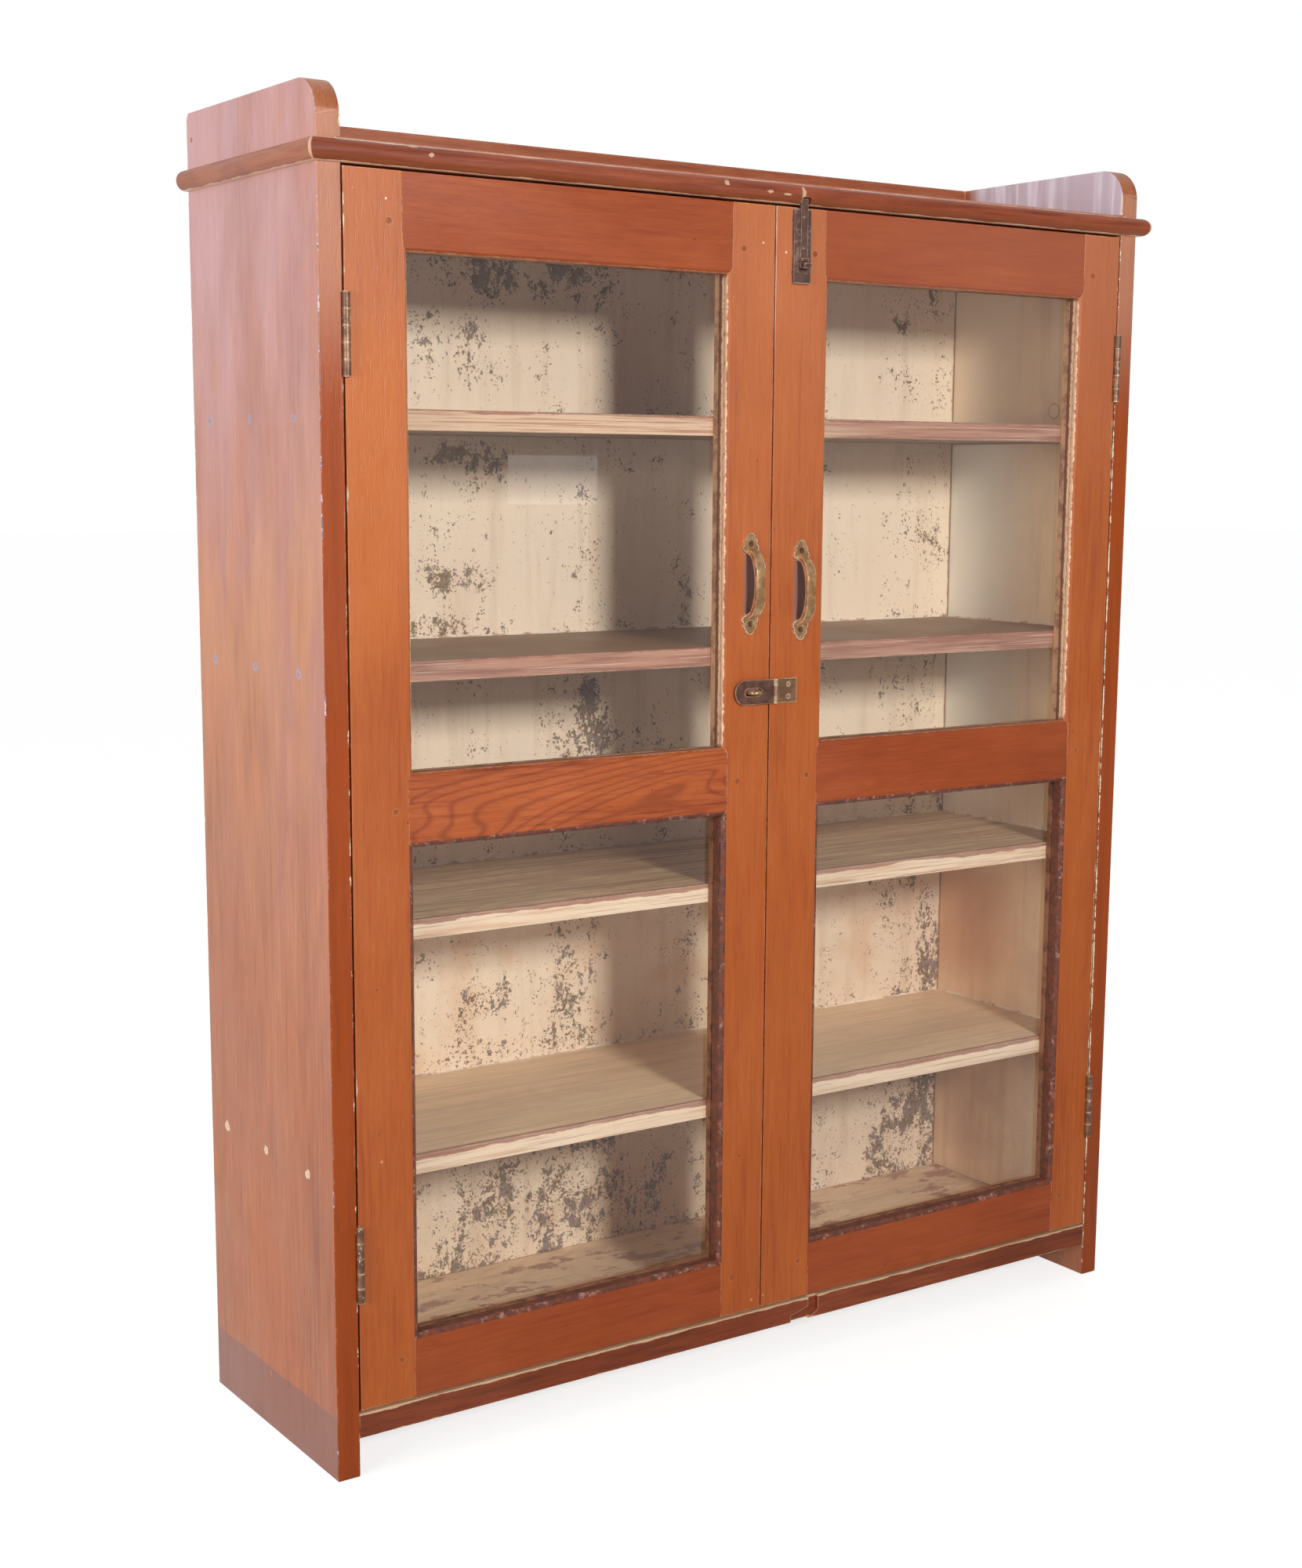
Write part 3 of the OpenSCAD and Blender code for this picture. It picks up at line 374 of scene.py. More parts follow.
def specks(g: Graph, amount: Field) -> Tuple[Field, ...]:
    """Small light and dark specks, chosen at random among small cells, and soft blotches.

    Args:
        g: The group's graph.
        amount: Share of the cells that have a speck, added to 0.015.

    Returns:
        Light, dark and blotch.
    """
    found = []
    for scale, seed in ((62.0, 0.0), (85.0, 9.0)):
        cells = g.add("TexVoronoi", {"feature": "F1"}, Scale=scale,
                      Vector=g.moved((1.0, 1.0, 1.0), (seed, seed, seed)))
        lot = Field(g, g.add("SeparateColor", None, cells.outputs["Color"]).outputs[0])
        spot = g.fade(Field(g, cells.outputs["Distance"]), 0.13, 0.05)
        found.append(g.product(lot + amount > 0.985, spot))
    return (*found, g.noise(5.5, 5.0, 0.6))


EFFECTS: Dict[Effect, Tuple[Callable, Tuple[str, ...], Tuple[str, ...]]] = {
    Effect.FIGURE: (figure, ("Rings",), ("Tone", "Band", "Pores", "Height")),
    Effect.WEAR: (wear, ("Reach", "Amount"), ("Mask",)),
    Effect.FLAKES: (flakes, ("Density",), ("Patch", "Rim", "Dots", "Layer")),
    Effect.SPECKS: (specks, ("Amount",), ("Light", "Dark", "Blotch")),
}


def effect_tree(kind: Effect) -> bpy.types.NodeTree:
    """Builds a shared group once, with a Vector input and named values.

    Args:
        kind: Which group.

    Returns:
        The group's tree.
    """
    known = bpy.data.node_groups.get(kind.value)
    if known:
        return known
    make, inputs, outputs = EFFECTS[kind]
    tree = bpy.data.node_groups.new(kind.value, "ShaderNodeTree")
    tree.interface.new_socket("Vector", in_out="INPUT", socket_type="NodeSocketVector")
    for in_out, names in (("INPUT", inputs), ("OUTPUT", outputs)):
        for name in names:
            tree.interface.new_socket(name, in_out=in_out, socket_type="NodeSocketFloat")
    inside = tree.nodes.new("NodeGroupInput").outputs
    g = Graph(tree, inside["Vector"])
    results = make(g, *(Field(g, inside[name]) for name in inputs))
    for socket, value in zip(tree.nodes.new("NodeGroupOutput").inputs, results):
        g.feed(socket, value)
    return tree


def new_material(name: str) -> Tuple[Material, Graph, bpy.types.Node]:
    """Makes a material with one Principled shader.

    Args:
        name: The material's name.

    Returns:
        The material, its graph and its shader.
    """
    material = bpy.data.materials.new(name)
    material.use_nodes = True
    return material, Graph(material.node_tree), material.node_tree.nodes["Principled BSDF"]


class Surface(Graph):
    """A new material's graph, with the colour and the roughness that it has so far.

    x, y and z are the coordinates of a point on the cabinet, in metres.
    """

    def __init__(self, name: str) -> None:
        """Makes a material of that name."""
        self.material, g, self.shader = new_material(name)
        super().__init__(g.tree, g.add("TexCoord").outputs["Object"])
        self.x, self.y, self.z = self.parts()
        self.colour: object = None
        self.roughness: Value = 0.5

    def lay(self, tint: object, *masks: Value, mode: str = "MIX") -> None:
        """Lays a colour over the surface, by the product of some masks."""
        self.colour = self.blend(self.product(*masks), self.colour, tint, mode)

    def oval(self, across: float, up: float, wide: float, tall: float) -> Field:
        """Distance from a place on the front, with 1 on an oval of those half sizes."""
        return self.apart((self.x - across) / wide, (self.z - up) / tall)

    def finish(self, roughness: Value, height: Field, depth: float) -> Material:
        """Feeds the shader.

        Args:
            roughness: The roughness.
            height: Height of the relief.
            depth: Size of a full step of height, in metres.

        Returns:
            The material.
        """
        relief = self.add("Bump", None, Strength=1.0, Distance=depth, Height=height)
        self.feed(self.shader.inputs["Base Color"], self.colour)
        self.feed(self.shader.inputs["Roughness"], roughness)
        self.feed(self.shader.inputs["Normal"], relief.outputs["Normal"])
        return self.material


@dataclass(frozen=True)
class Varnish:
    """Worn varnish on hardwood.

    pale, body and deep are the wood's three tones. worn is the bare wood at the arrises.
    """

    name: str
    pale: Colour
    body: Colour
    deep: Colour
    worn: Colour
    grain: Grain
    rings: float = 9.0
    band: float = 0.35
    reach: float = 4.0 * MM
    wear: float = 0.0
    specks: float = 0.0
    roughness: float = 0.38
    pore: float = 0.3
    speck: Colour = (70, 38, 26)

    def turned(self, s: Surface) -> Socket:
        """The position with the grain's direction as its first coordinate.

        Args:
            s: The surface.

        Returns:
            The position.
        """
        if self.grain is Grain.ALONG_X:
            return s.at
        order = (s.y, s.x, s.z) if self.grain is Grain.ALONG_Y else (s.z, s.x, s.y)
        return s.add("CombineXYZ", None, *order).outputs[0]

    def wood(self, s: Surface) -> Tuple[Socket, Field]:
        """The wood's colour under its varnish, and its height.

        Args:
            s: The surface.

        Returns:
            Colour and height.
        """
        cut = s.effect(Effect.FIGURE, Vector=self.turned(s), Rings=self.rings)
        colour = s.blend(s.fade(cut["Tone"], 0.34, 0.52), self.deep, self.body)
        return s.over(colour, (self.pale, s.fade(cut["Tone"], 0.50, 0.72)),
                      (self.deep, cut["Band"] * self.band),
                      (self.deep, cut["Pores"] * self.pore)), cut["Height"]

    def build(self, dress: Optional[Callable[[Surface], None]] = None) -> Material:
        """Makes the material.

        Args:
            dress: Lays more on the surface before the wear.

        Returns:
            The material.
        """
        s = Surface(self.name)
        s.colour, height = self.wood(s)
        spots = s.effect(Effect.SPECKS, Amount=self.specks)
        blotch = s.fade(spots["Blotch"], 0.36, 0.66)
        s.roughness = blotch * 0.12 + self.roughness
        s.lay(self.deep, (1.0 - blotch) * 0.22)
        s.lay(self.speck, spots["Dark"] * 0.7)
        s.lay(self.worn, spots["Light"] * 0.6)
        if dress:
            dress(s)
        worn = s.effect(Effect.WEAR, Reach=self.reach, Amount=self.wear)["Mask"]
        s.lay(self.worn, worn * 0.85)
        return s.finish(s.roughness + worn * 0.25, height - worn * 1.2, 0.12 * MM)


@dataclass(frozen=True)
class Paint:
    """Old paint on boards, flaked to the layers below.

    coat is the paint, stain its dirty tone, drip its runs, rim the border of a flake, and
    layers the two tones that show under it.
    """

    coat: Colour
    stain: Colour
    layers: Tuple[Colour, Colour]
    dots: Colour
    drip: Colour = (206, 168, 130)
    rim: Colour = (205, 165, 110)

    def coated(self, s: Surface, density: Value) -> Tuple[Socket, Field]:
        """The paint's colour and its height.

        Args:
            s: The surface.
            density: How much has flaked off.

        Returns:
            Colour and height.
        """
        gone = s.effect(Effect.FLAKES, Density=density)
        cloud = s.noise(1.0, 4.0, 0.6, stretch=(5.0, 5.0, 1.6))
        drips = s.noise(1.0, 5.0, 0.66, stretch=(42.0, 42.0, 3.5))
        under = s.blend(s.fade(gone["Layer"], 0.44, 0.56), *self.layers)
        colour = s.over(self.coat, (self.stain, s.fade(cloud, 0.42, 0.75) * 0.55),
                        (self.drip, s.fade(drips, 0.47, 0.70) * 0.28),
                        (self.rim, gone["Rim"] * 0.35),
                        (under, gone["Patch"]),
                        (self.dots, gone["Dots"] * 0.85))
        return colour, 1.0 - s.most(gone["Patch"], gone["Dots"])


CASE = Varnish("case_varnish", (196, 124, 82), (172, 102, 64), (140, 76, 44), (226, 192, 176),
               Grain.ALONG_Z, band=0.22, wear=-0.16)
CASE_ACROSS = Varnish("case_varnish_across", (196, 126, 90), (172, 98, 64), (138, 70, 42), CASE.worn,
                      Grain.ALONG_X, rings=7.0, band=0.25, wear=-0.02)
MOULDING = Varnish("moulding_varnish", (176, 98, 64), (152, 74, 44), (112, 48, 28), (226, 178, 150),
                   Grain.ALONG_X, rings=8.0, reach=2.2 * MM, wear=-0.06)
SIDE_MOULDING = Varnish("side_moulding_varnish", (190, 120, 84), (166, 94, 60), (120, 62, 38),
                        (224, 178, 156), Grain.ALONG_Y, rings=8.0, reach=2.2 * MM, wear=-0.06)
PLINTH = Varnish("plinth_varnish", (158, 80, 46), (134, 62, 33), (98, 44, 24), (206, 164, 126),
                 Grain.ALONG_X, rings=8.0, reach=2.4 * MM, wear=-0.02)
STILE = Varnish("stile_varnish", (190, 103, 45), (177, 90, 36), (156, 72, 27), (222, 172, 130),
                Grain.ALONG_Z, band=0.12, reach=1.8 * MM, wear=-0.08, specks=0.012)
RAIL = Varnish("rail_varnish", (172, 86, 39), (157, 72, 30), (138, 58, 24), (214, 164, 126),
               Grain.ALONG_X, rings=16.0, band=0.26, reach=1.8 * MM, wear=-0.08, specks=0.012)
BOLD_RAIL = Varnish("bold_rail_varnish", (192, 102, 49), (176, 86, 38), (122, 48, 21), RAIL.worn,
                    Grain.ALONG_X, rings=44.0, band=0.55, reach=1.8 * MM, wear=-0.08)
PEG = Varnish("peg_wood", (178, 96, 46), (162, 82, 38), (132, 62, 30), (170, 100, 60),
              Grain.ALONG_Y, rings=14.0, reach=1.0 * MM)
BARE_BACK = Varnish("bare_back", (186, 158, 124), (164, 134, 100), (124, 96, 70), (190, 164, 132),
                    Grain.ALONG_Z, rings=8.0, band=0.3)
SHELF_WOOD = Varnish("shelf_wood", (248, 222, 182), (228, 194, 150), (170, 124, 82), (240, 216, 182),
                     Grain.ALONG_X, rings=26.0, band=0.30, wear=-0.1, roughness=0.46, pore=0.5)
CREAM = Paint((248, 227, 199), (230, 200, 164), ((148, 128, 118), (138, 124, 96)), (124, 82, 52))
INNER = Paint((250, 216, 174), (222, 180, 136), ((176, 140, 116), (184, 150, 112)), (150, 110, 82),
              drip=(196, 146, 106))
SHELVES = ("shelf_1", "shelf_2", "shelf_3", "shelf_4")


@dataclass(frozen=True)
class Filler:
    """Filler over the nails of the sides: most at shelves 1 and 3, less at shelf 4."""

    blue: Colour = (152, 150, 172)
    cream: Colour = (236, 210, 176)

    def level(self, s: Surface) -> Field:
        """How much of it is left at a height."""
        return s.most(s.between(s.z, 0.24, 0.36, 0.01), s.between(s.z, 0.74, 0.84, 0.01),
                      s.between(s.z, 0.96, 1.08, 0.01) * 0.8)

    def tint(self, s: Surface) -> Socket:
        """Its colour: cream at shelf 1 and bluish above."""
        return s.blend(s.fade(s.z, 0.36, 0.33), self.blue, self.cream)


@dataclass(frozen=True)
class SideDress:
    """Old paint inside, damp, filler, chips and painted sheen on the side boards."""

    nails_in: Tuple[float, ...] = (56.0 * MM, 152.5 * MM, 249.0 * MM)
    seam_in: float = 165.0 * MM
    damp_top: float = 64.0 * MM
    plug_in: float = 100.0 * MM
    plug_z: float = 1053.0 * MM
    plug_r: float = 9.0 * MM

    def inner(self, s: Surface, front: float) -> Socket:
        """Colour of the painted inner faces, with the round plug on the right one.

        It has painted shade near the door and painted light towards the back.

        Args:
            s: The surface.
            front: Where the board's front edge is.

        Returns:
            The colour.
        """
        coat, _ = INNER.coated(s, -0.08)
        cloud = s.noise(7.0, 4.0, 0.6)
        # Colour of the painted light towards the back.
        white = s.blend(s.fade(s.z, 1.00, 1.06), (255, 251, 238), (255, 234, 204))
        ring = s.apart(s.y - (front + self.plug_in), s.z - self.plug_z)
        plug = s.between(ring, self.plug_r - 0.8 * MM, self.plug_r + 0.4 * MM, 0.5 * MM)
        return s.over(
            coat,
            ((216, 164, 138), s.fade(cloud, 0.5, 0.72), 0.45),
            # Painted shade, partly stain: darker mauve near the door.
            ((168, 138, 120), s.fade(s.y, front + 0.15, front + 0.05), s.fade(cloud, 0.3, 0.6), 0.5),
            # Painted light: nearly white towards the back, from middle height up.
            (white, s.fade(s.y, front + 0.10, front + 0.22), s.fade(s.z, 0.4, 0.7), 0.93),
            ((208, 140, 96), s.between(s.z, 0.37, 0.46, 0.05), s.fade(s.y, front + 0.12, front + 0.20),
             s.fade(cloud, 0.34, 0.54), 0.55),
            ((150, 108, 78), plug, s.x > 0.0, 0.6))

    def chips(self, s: Surface, distance: Field, reach: float, crowd: Value) -> Field:
        """Small chips along an arris.

        Args:
            s: The surface.
            distance: How far the arris is.
            reach: How far the chips come from it.
            crowd: Share of the arris that is chipped, from -0.2 to 0.2.

        Returns:
            The mask.
        """
        ragged = distance + s.jitter(150.0, 3.0 * reach)
        cluster = s.noise(60.0, 4.0, 0.72, stretch=(1.0, 1.0, 0.6))
        return s.product(s.fade(ragged, 0.8 * reach, 0.5 * reach), s.fade(cluster + crowd, 0.52, 0.56),
                         s.fade(distance, 2.2 * reach, reach))

    def outer(self, s: Surface, outside: Field, front: float) -> None:
        """Painted sheen, damp, seam and filler on the outer faces.

        Args:
            s: The surface.
            outside: Where the outer faces are.
            front: Where the board's front edge is.
        """
        # Painted sheen, partly sun-bleached wood: a pale pink veil that turns mauve towards the top, and a
        # deeper orange towards the bottom.
        cloudy = s.fade(s.noise(1.0, 5.0, 0.62, stretch=(1.0, 9.0, 2.6)), 0.34, 0.66)
        painted_sheen_hue = s.fade(s.noise(1.0, 4.0, stretch=(1.0, 14.0, 3.0), shift=(3.0, 1.0, 4.0)), 0.42, 0.60)
        painted_sheen_hue = s.over(s.blend(painted_sheen_hue, (200, 150, 148), (230, 172, 134)),
                     ((214, 176, 186), s.fade(s.z, 0.80, 1.15)))
        s.lay(painted_sheen_hue, outside, s.fade(s.z, 0.25, 1.20), cloudy * 0.30 + 0.24)
        s.lay((176, 92, 50), outside, s.fade(s.z, 0.65, 0.15), s.fade(cloudy, 0.7, 0.1), 0.35)
        self.front_edge(s, front)
        wobble = s.z + s.jitter(30.0, 5.0 * MM)
        s.lay((128, 84, 76), s.fade(wobble, self.damp_top + 1.5 * MM, self.damp_top), outside, 0.68)
        crack = s.y + s.jitter(14.0, 6.0 * MM, stretch=(0.0, 0.0, 1.0))
        s.lay((150, 106, 100), s.fade(s.off(crack, front + self.seam_in), 1.0 * MM, 0.4 * MM), outside,
              s.fade(s.z, 1.10, 1.16), 0.6)
        boards = ("bottom_board", *SHELVES, "top_board")
        middles = [(low.z + high.z) / 2 for low, high in map(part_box, boards)]
        spot = s.apart(s.off(s.y, *(front + d for d in self.nails_in)), s.off(s.z, *middles))
        ragged = spot + s.jitter(110.0, 13.0 * MM, stretch=(1.0, 1.0, 0.6))
        s.lay(FILLER.tint(s), s.fade(ragged, 5.6 * MM, 4.2 * MM), outside, FILLER.level(s), 0.8)

    def front_edge(self, s: Surface, front: float) -> None:
        """The darker front edge of a side, with a paler painted sheen at the top.

        Args:
            s: The surface.
            front: Where it is.
        """
        frontal = s.fade(s.y, front + 0.8 * MM, front + 0.4 * MM)
        grain = s.fade(s.noise(1.0, 4.0, 0.65, stretch=(90.0, 90.0, 5.0)), 0.42, 0.66)
        s.lay((158, 66, 6), frontal, s.fade(s.z, 1.36, 1.05), 0.96)
        s.lay((124, 52, 14), frontal, grain, 0.35)
        # Painted sheen: pale pink on the upper part of the front edge.
        s.lay((200, 146, 120), frontal, s.fade(s.z, 1.02, 1.18), 0.48)

    def __call__(self, s: Surface) -> None:
        """Lays everything over the varnish.

        Args:
            s: The surface.
        """
        low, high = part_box("left_side")
        front, inner_x, outer_x = low.y, -high.x, -low.x
        ceiling, tray = (corner.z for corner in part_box("top_board"))
        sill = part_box("bottom_board")[0].z
        away = abs(s.x)
        within = s.fade(away, inner_x + 0.4 * MM, inner_x + 0.2 * MM)
        outside = s.fade(away, outer_x - 0.5 * MM, outer_x - 0.3 * MM)
        behind = s.fade(s.y + s.jitter(60.0, 6.0 * MM), front + 25.0 * MM, front + 26.5 * MM)
        painted = s.product(within, behind, s.between(s.z, sill, ceiling - 0.2 * MM))
        s.lay(self.inner(s, front), painted)
        # Painted sheen: pale mauve streaks on the gallery's inner faces.
        sheen_streaks = s.fade(s.noise(1.0, 3.0, stretch=(1.0, 90.0, 6.0)), 0.40, 0.66)
        s.lay(s.blend(sheen_streaks, (194, 180, 194), (228, 222, 234)), within,
              s.fade(s.z, tray - 0.2 * MM, tray), s.fade(s.y, high.y - 0.02, high.y - 0.06), 0.85)
        self.outer(s, outside, front)
        chip_tint = s.blend(s.fade(s.noise(260.0), 0.40, 0.52), (204, 184, 188), (108, 92, 104))
        arris = s.apart(away - outer_x, s.y - front)
        s.lay(chip_tint, self.chips(s, arris, 1.3 * MM, s.fade(s.z, 0.78, 1.00) * 0.09 - 0.07))
        rear = s.apart(away - outer_x, s.y - high.y)
        s.lay((224, 206, 204), self.chips(s, rear, 1.6 * MM, 0.02))
        gap = s.apart(away - inner_x, s.y - front)
        s.lay((234, 214, 184), self.chips(s, gap, 1.5 * MM, (s.x > 0.0) * 0.12 - 0.05))
        s.roughness = s.roughness + painted * 0.2


@dataclass(frozen=True)
class ShelfDress:
    """Cream paint on the shelves' front edges, streaked, with a worn red-brown upper line."""

    deeper: float = 3.0 * MM

    def edge(self, s: Surface) -> Socket:
        """Colour of the front edges: cream low down, brown above, straw at the upper left.

        Args:
            s: The surface.

        Returns:
            The colour.
        """
        cloud = s.noise(1.0, 5.0, 0.65, stretch=(6.0, 40.0, 160.0))
        streak = s.noise(1.0, 5.0, 0.7, stretch=(6.0, 1.0, 560.0))
        high_up = s.fade(s.z, 0.70, 0.76)
        pale = s.blend(s.fade(cloud, 0.46, 0.66), (232, 204, 174), (214, 174, 138))
        brown = s.blend(s.fade(cloud, 0.42, 0.60), (174, 126, 102), (136, 88, 70))
        straw = s.blend(s.fade(streak, 0.48, 0.60), (216, 182, 150), (168, 122, 92))
        return s.over(pale, (brown, high_up), ((162, 108, 84), s.fade(streak, 0.55, 0.62), 0.7),
                      ((224, 200, 184), s.fade(streak, 0.45, 0.37), high_up, 0.42),
                      (straw, s.fade(s.z, 0.90, 0.96), s.fade(s.x, 0.16, 0.02), 0.85))

    def __call__(self, s: Surface) -> None:
        """Lays the paint over the boards.

        Args:
            s: The surface.
        """
        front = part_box("shelf_1")[0].y
        long_grain = s.noise(1.0, 5.0, 0.74, stretch=(3.2, 120.0, 1.0))
        s.lay((158, 116, 74), s.fade(long_grain, 0.46, 0.60), 0.55)
        s.lay((250, 224, 184), s.fade(s.z, 0.42, 0.36), 0.5)
        s.lay((118, 78, 44), s.fade(s.z, 0.62, 0.70), 0.88)
        edge = s.fade(s.y, front + 1.3 * MM, front + 0.8 * MM)
        s.lay(self.edge(s), edge)
        below = s.off(s.z, *(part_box(shelf)[1].z for shelf in SHELVES))
        deeper = s.fade(s.z, 0.70, 0.62) * -self.deeper
        ragged = below + s.jitter(42.0, 13.0 * MM, 5.0, (0.3, 1.0, 1.0)) + deeper
        line = s.most(s.fade(ragged, 2.0 * MM, 1.1 * MM), s.fade(below, 2.1 * MM, 1.3 * MM))
        s.lay((140, 80, 58), line, s.fade(s.y + deeper, front + 3.0 * MM, front + 1.5 * MM), 0.80)
        s.roughness = s.roughness + edge * 0.25


def blotched_floor(s: Surface) -> None:
    """Lays brown blotches on the bottom board, and dirt along its back.

    Args:
        s: The surface.
    """
    stain = s.noise(1.0, 7.0, 0.70, stretch=(15.0, 24.0, 14.0))
    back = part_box("bottom_board")[1].y
    dirt = s.fade(s.y + s.jitter(40.0, 10.0 * MM), back - 4.0 * MM, back - 1.0 * MM)
    s.lay((250, 222, 188), 0.4)
    s.lay((158, 100, 76), s.most(s.fade(stain, 0.535, 0.585), dirt), 0.74)


def spots_mask(s: Surface, spots: Sequence[Oval], rag: float = 0.9) -> Field:
    """Small ragged ovals on faces that look forward.

    Args:
        s: The surface.
        spots: X, Z, half width and half height of each.
        rag: How ragged they are, as a share of their size.

    Returns:
        The mask.
    """
    noise = s.jitter(260.0, rag)
    return s.most(*(s.fade(s.oval(*spot) + noise, 1.15, 0.80) for spot in spots))


@dataclass(frozen=True)
class FrameDress:
    """Door frames: edge mouldings by depth, hand dirt with painted shadow, flecks of old paint and a painted
    sheen.

    hands names the pieces that hands reach for, and how far the dirt and painted shadow round
    each goes to the left, to the right and up. A pane's box, made larger by clear, is its frame's opening.
    """

    painted_sheen: float = 0.0
    dirt_and_shadow: Colour = (132, 100, 92)
    fleck: Colour = (236, 216, 188)
    clear: float = 0.6 * MM
    soft: float = 0.1 * MM
    specks: Tuple[Oval, ...] = (
        (-0.0197, 1.2096, 0.0012, 0.0012), (0.0100, 1.2019, 0.0012, 0.0012),
        (-0.4506, 1.2220, 0.0011, 0.0011), (-0.4474, 1.2008, 0.0009, 0.0009))
    hands: Tuple[Tuple[str, float, float, float], ...] = (
        ("left_handle", -5.0 * MM, 14.0 * MM, 31.0 * MM), ("right_handle", -6.0 * MM, 12.0 * MM, 31.0 * MM),
        ("hasp_staple", -9.0 * MM, 9.0 * MM, 6.0 * MM))

    def openings(self, s: Surface) -> Field:
        """Gives 1 inside the openings, where a frame has only its edge moulding.

        Args:
            s: The surface.

        Returns:
            The mask.
        """
        masks = []
        for value, axis, panes in ((s.x, 0, ("left_upper_glass", "right_upper_glass")),
                                   (s.z, 2, ("left_lower_glass", "left_upper_glass"))):
            spans = [(low[axis] - self.clear, high[axis] + self.clear) for low, high in map(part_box, panes)]
            masks.append(s.most(*(s.between(value, *span, self.soft) for span in spans)))
        return s.product(*masks)

    def reveal(self, s: Surface) -> Socket:
        """Colour of the edge mouldings: varnish in front, old paint next to the glass.

        Args:
            s: The surface.

        Returns:
            The colour.
        """
        low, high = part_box("left_mid_rail")
        ends = [corner.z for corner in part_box("left_upper_glass")]
        deep = s.y + -low.y + s.jitter(140.0, 5.0 * MM)
        rag = s.noise(170.0, 4.0, 0.65)
        cream = s.over(s.blend(s.fade(rag, 0.52, 0.68), (236, 194, 156), (190, 138, 106)),
                       ((158, 88, 52), s.fade(s.off(s.z, *ends), 9.0 * MM, 6.0 * MM), 0.85))
        above = s.over(s.colour, (cream, s.fade(deep, 1.8 * MM, 2.8 * MM)),
                       ((176, 128, 108), s.between(deep, 6.2 * MM, 6.8 * MM, 0.5 * MM)),
                       ((128, 84, 64), s.fade(deep, 10.6 * MM, 11.4 * MM)))
        chip = s.product(s.fade(s.noise(170.0, 5.0, 0.78, stretch=(0.6, 1.0, 0.6)), 0.56, 0.61),
                         s.fade(deep, 8.5 * MM, 4.0 * MM), s.fade(s.noise(14.0, 3.0), 0.38, 0.50))
        below = s.over(s.blend(s.fade(rag, 0.40, 0.60), (124, 64, 44), (92, 54, 44)),
                       ((172, 130, 116), chip, 0.8))
        return s.blend(s.fade(s.z, low.z, high.z), below, above)

    def handle_dirt_and_shadow(self, s: Surface) -> Field:
        """Hand dirt and painted shadow on the frames behind the handles and inside the staple.

        Args:
            s: The surface.

        Returns:
            The mask.
        """
        wobble = s.jitter(70.0, 5.0 * MM)
        marks = []
        for node, left, right, tall in self.hands:
            low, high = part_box(node)
            across, up = (low.x + high.x) / 2, (low.z + high.z) / 2
            marks.append(s.product(s.between(s.x + wobble, across + left, across + right, 4.0 * MM),
                                   s.between(s.z + wobble, up - tall, up + tall, 6.0 * MM)))
        return s.most(*marks)

    def __call__(self, s: Surface) -> None:
        """Lays everything over the varnish.

        Args:
            s: The surface.
        """
        # Painted sheen: paler towards the top of the frames, and pale mauve at the upper right.
        s.lay((206, 136, 96), s.fade(s.z, 0.70, 1.25), self.painted_sheen)
        s.lay((172, 112, 92), s.fade(s.z, 0.90, 1.25), s.fade(s.x, -0.12, 0.30), 0.28)
        s.lay((208, 112, 30), s.fade(s.x, -0.40, -0.45), s.between(s.z, 0.86, 1.06, 0.12), 0.35)
        # Hand dirt with painted shadow behind the handles and in the staple's slot.
        s.lay(self.dirt_and_shadow, self.handle_dirt_and_shadow(s), 0.9)
        s.lay((236, 208, 184), spots_mask(s, self.specks))
        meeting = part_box("right_meeting_stile")[0].x
        broken = s.fade(s.noise(45.0, 3.0, 0.6, stretch=(1.0, 1.0, 0.2)), 0.40, 0.50)
        s.lay((230, 184, 162), s.between(s.x, meeting - 0.1 * MM, meeting + 0.6 * MM, 0.3 * MM), broken,
              s.fade(s.z, 1.08, 1.16), 0.7)
        edge = s.off(s.x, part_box("left_hinge_stile")[0].x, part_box("right_hinge_stile")[1].x)
        rag = edge + s.jitter(120.0, 6.0 * MM, stretch=(1.0, 1.0, 0.5))
        cluster = s.noise(26.0, 3.0, 0.6, stretch=(1.0, 1.0, 0.5)) + s.math("LESS_THAN", s.x, 0.0) * -0.06
        s.lay(self.fleck, s.fade(rag, 1.0 * MM, 0.4 * MM), s.fade(cluster, 0.46, 0.52),
              s.fade(edge, 5.0 * MM, 3.0 * MM), 0.85)
        s.lay(self.reveal(s), self.openings(s))


@dataclass(frozen=True)
class TrimDress:
    """Pale lines of worn varnish and old paint along a trim's upper and lower arrises, with painted shade
    below.
    """

    node: str
    upper: float
    lower: float
    tint: Colour = (232, 202, 170)
    spots: Tuple[Oval, ...] = ()
    painted_underside_shade: float = 0.0

    def __call__(self, s: Surface) -> None:
        """Lays the painted shade, the lines and the spots over the varnish.

        Args:
            s: The surface.
        """
        low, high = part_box(self.node)
        tall = high.z - low.z
        ragged = s.jitter(75.0, 3.0 * max(self.upper, self.lower), 5.0, (0.35, 0.35, 1.0))
        top = s.fade(high.z + s.z * -1.0 + ragged, self.upper, self.upper * 0.6)
        foot = s.fade(s.z + -low.z + ragged, self.lower, self.lower * 0.6)
        # Painted shade: darker brown on the lower half, where the round turns down.
        s.lay((124, 64, 20), s.fade(s.z, low.z + 0.5 * tall, low.z + 0.15 * tall), self.painted_underside_shade)
        s.lay(self.tint, s.most(top, foot), 0.85)
        if self.spots:
            s.lay(self.tint, spots_mask(s, self.spots, 2.0), 0.55)


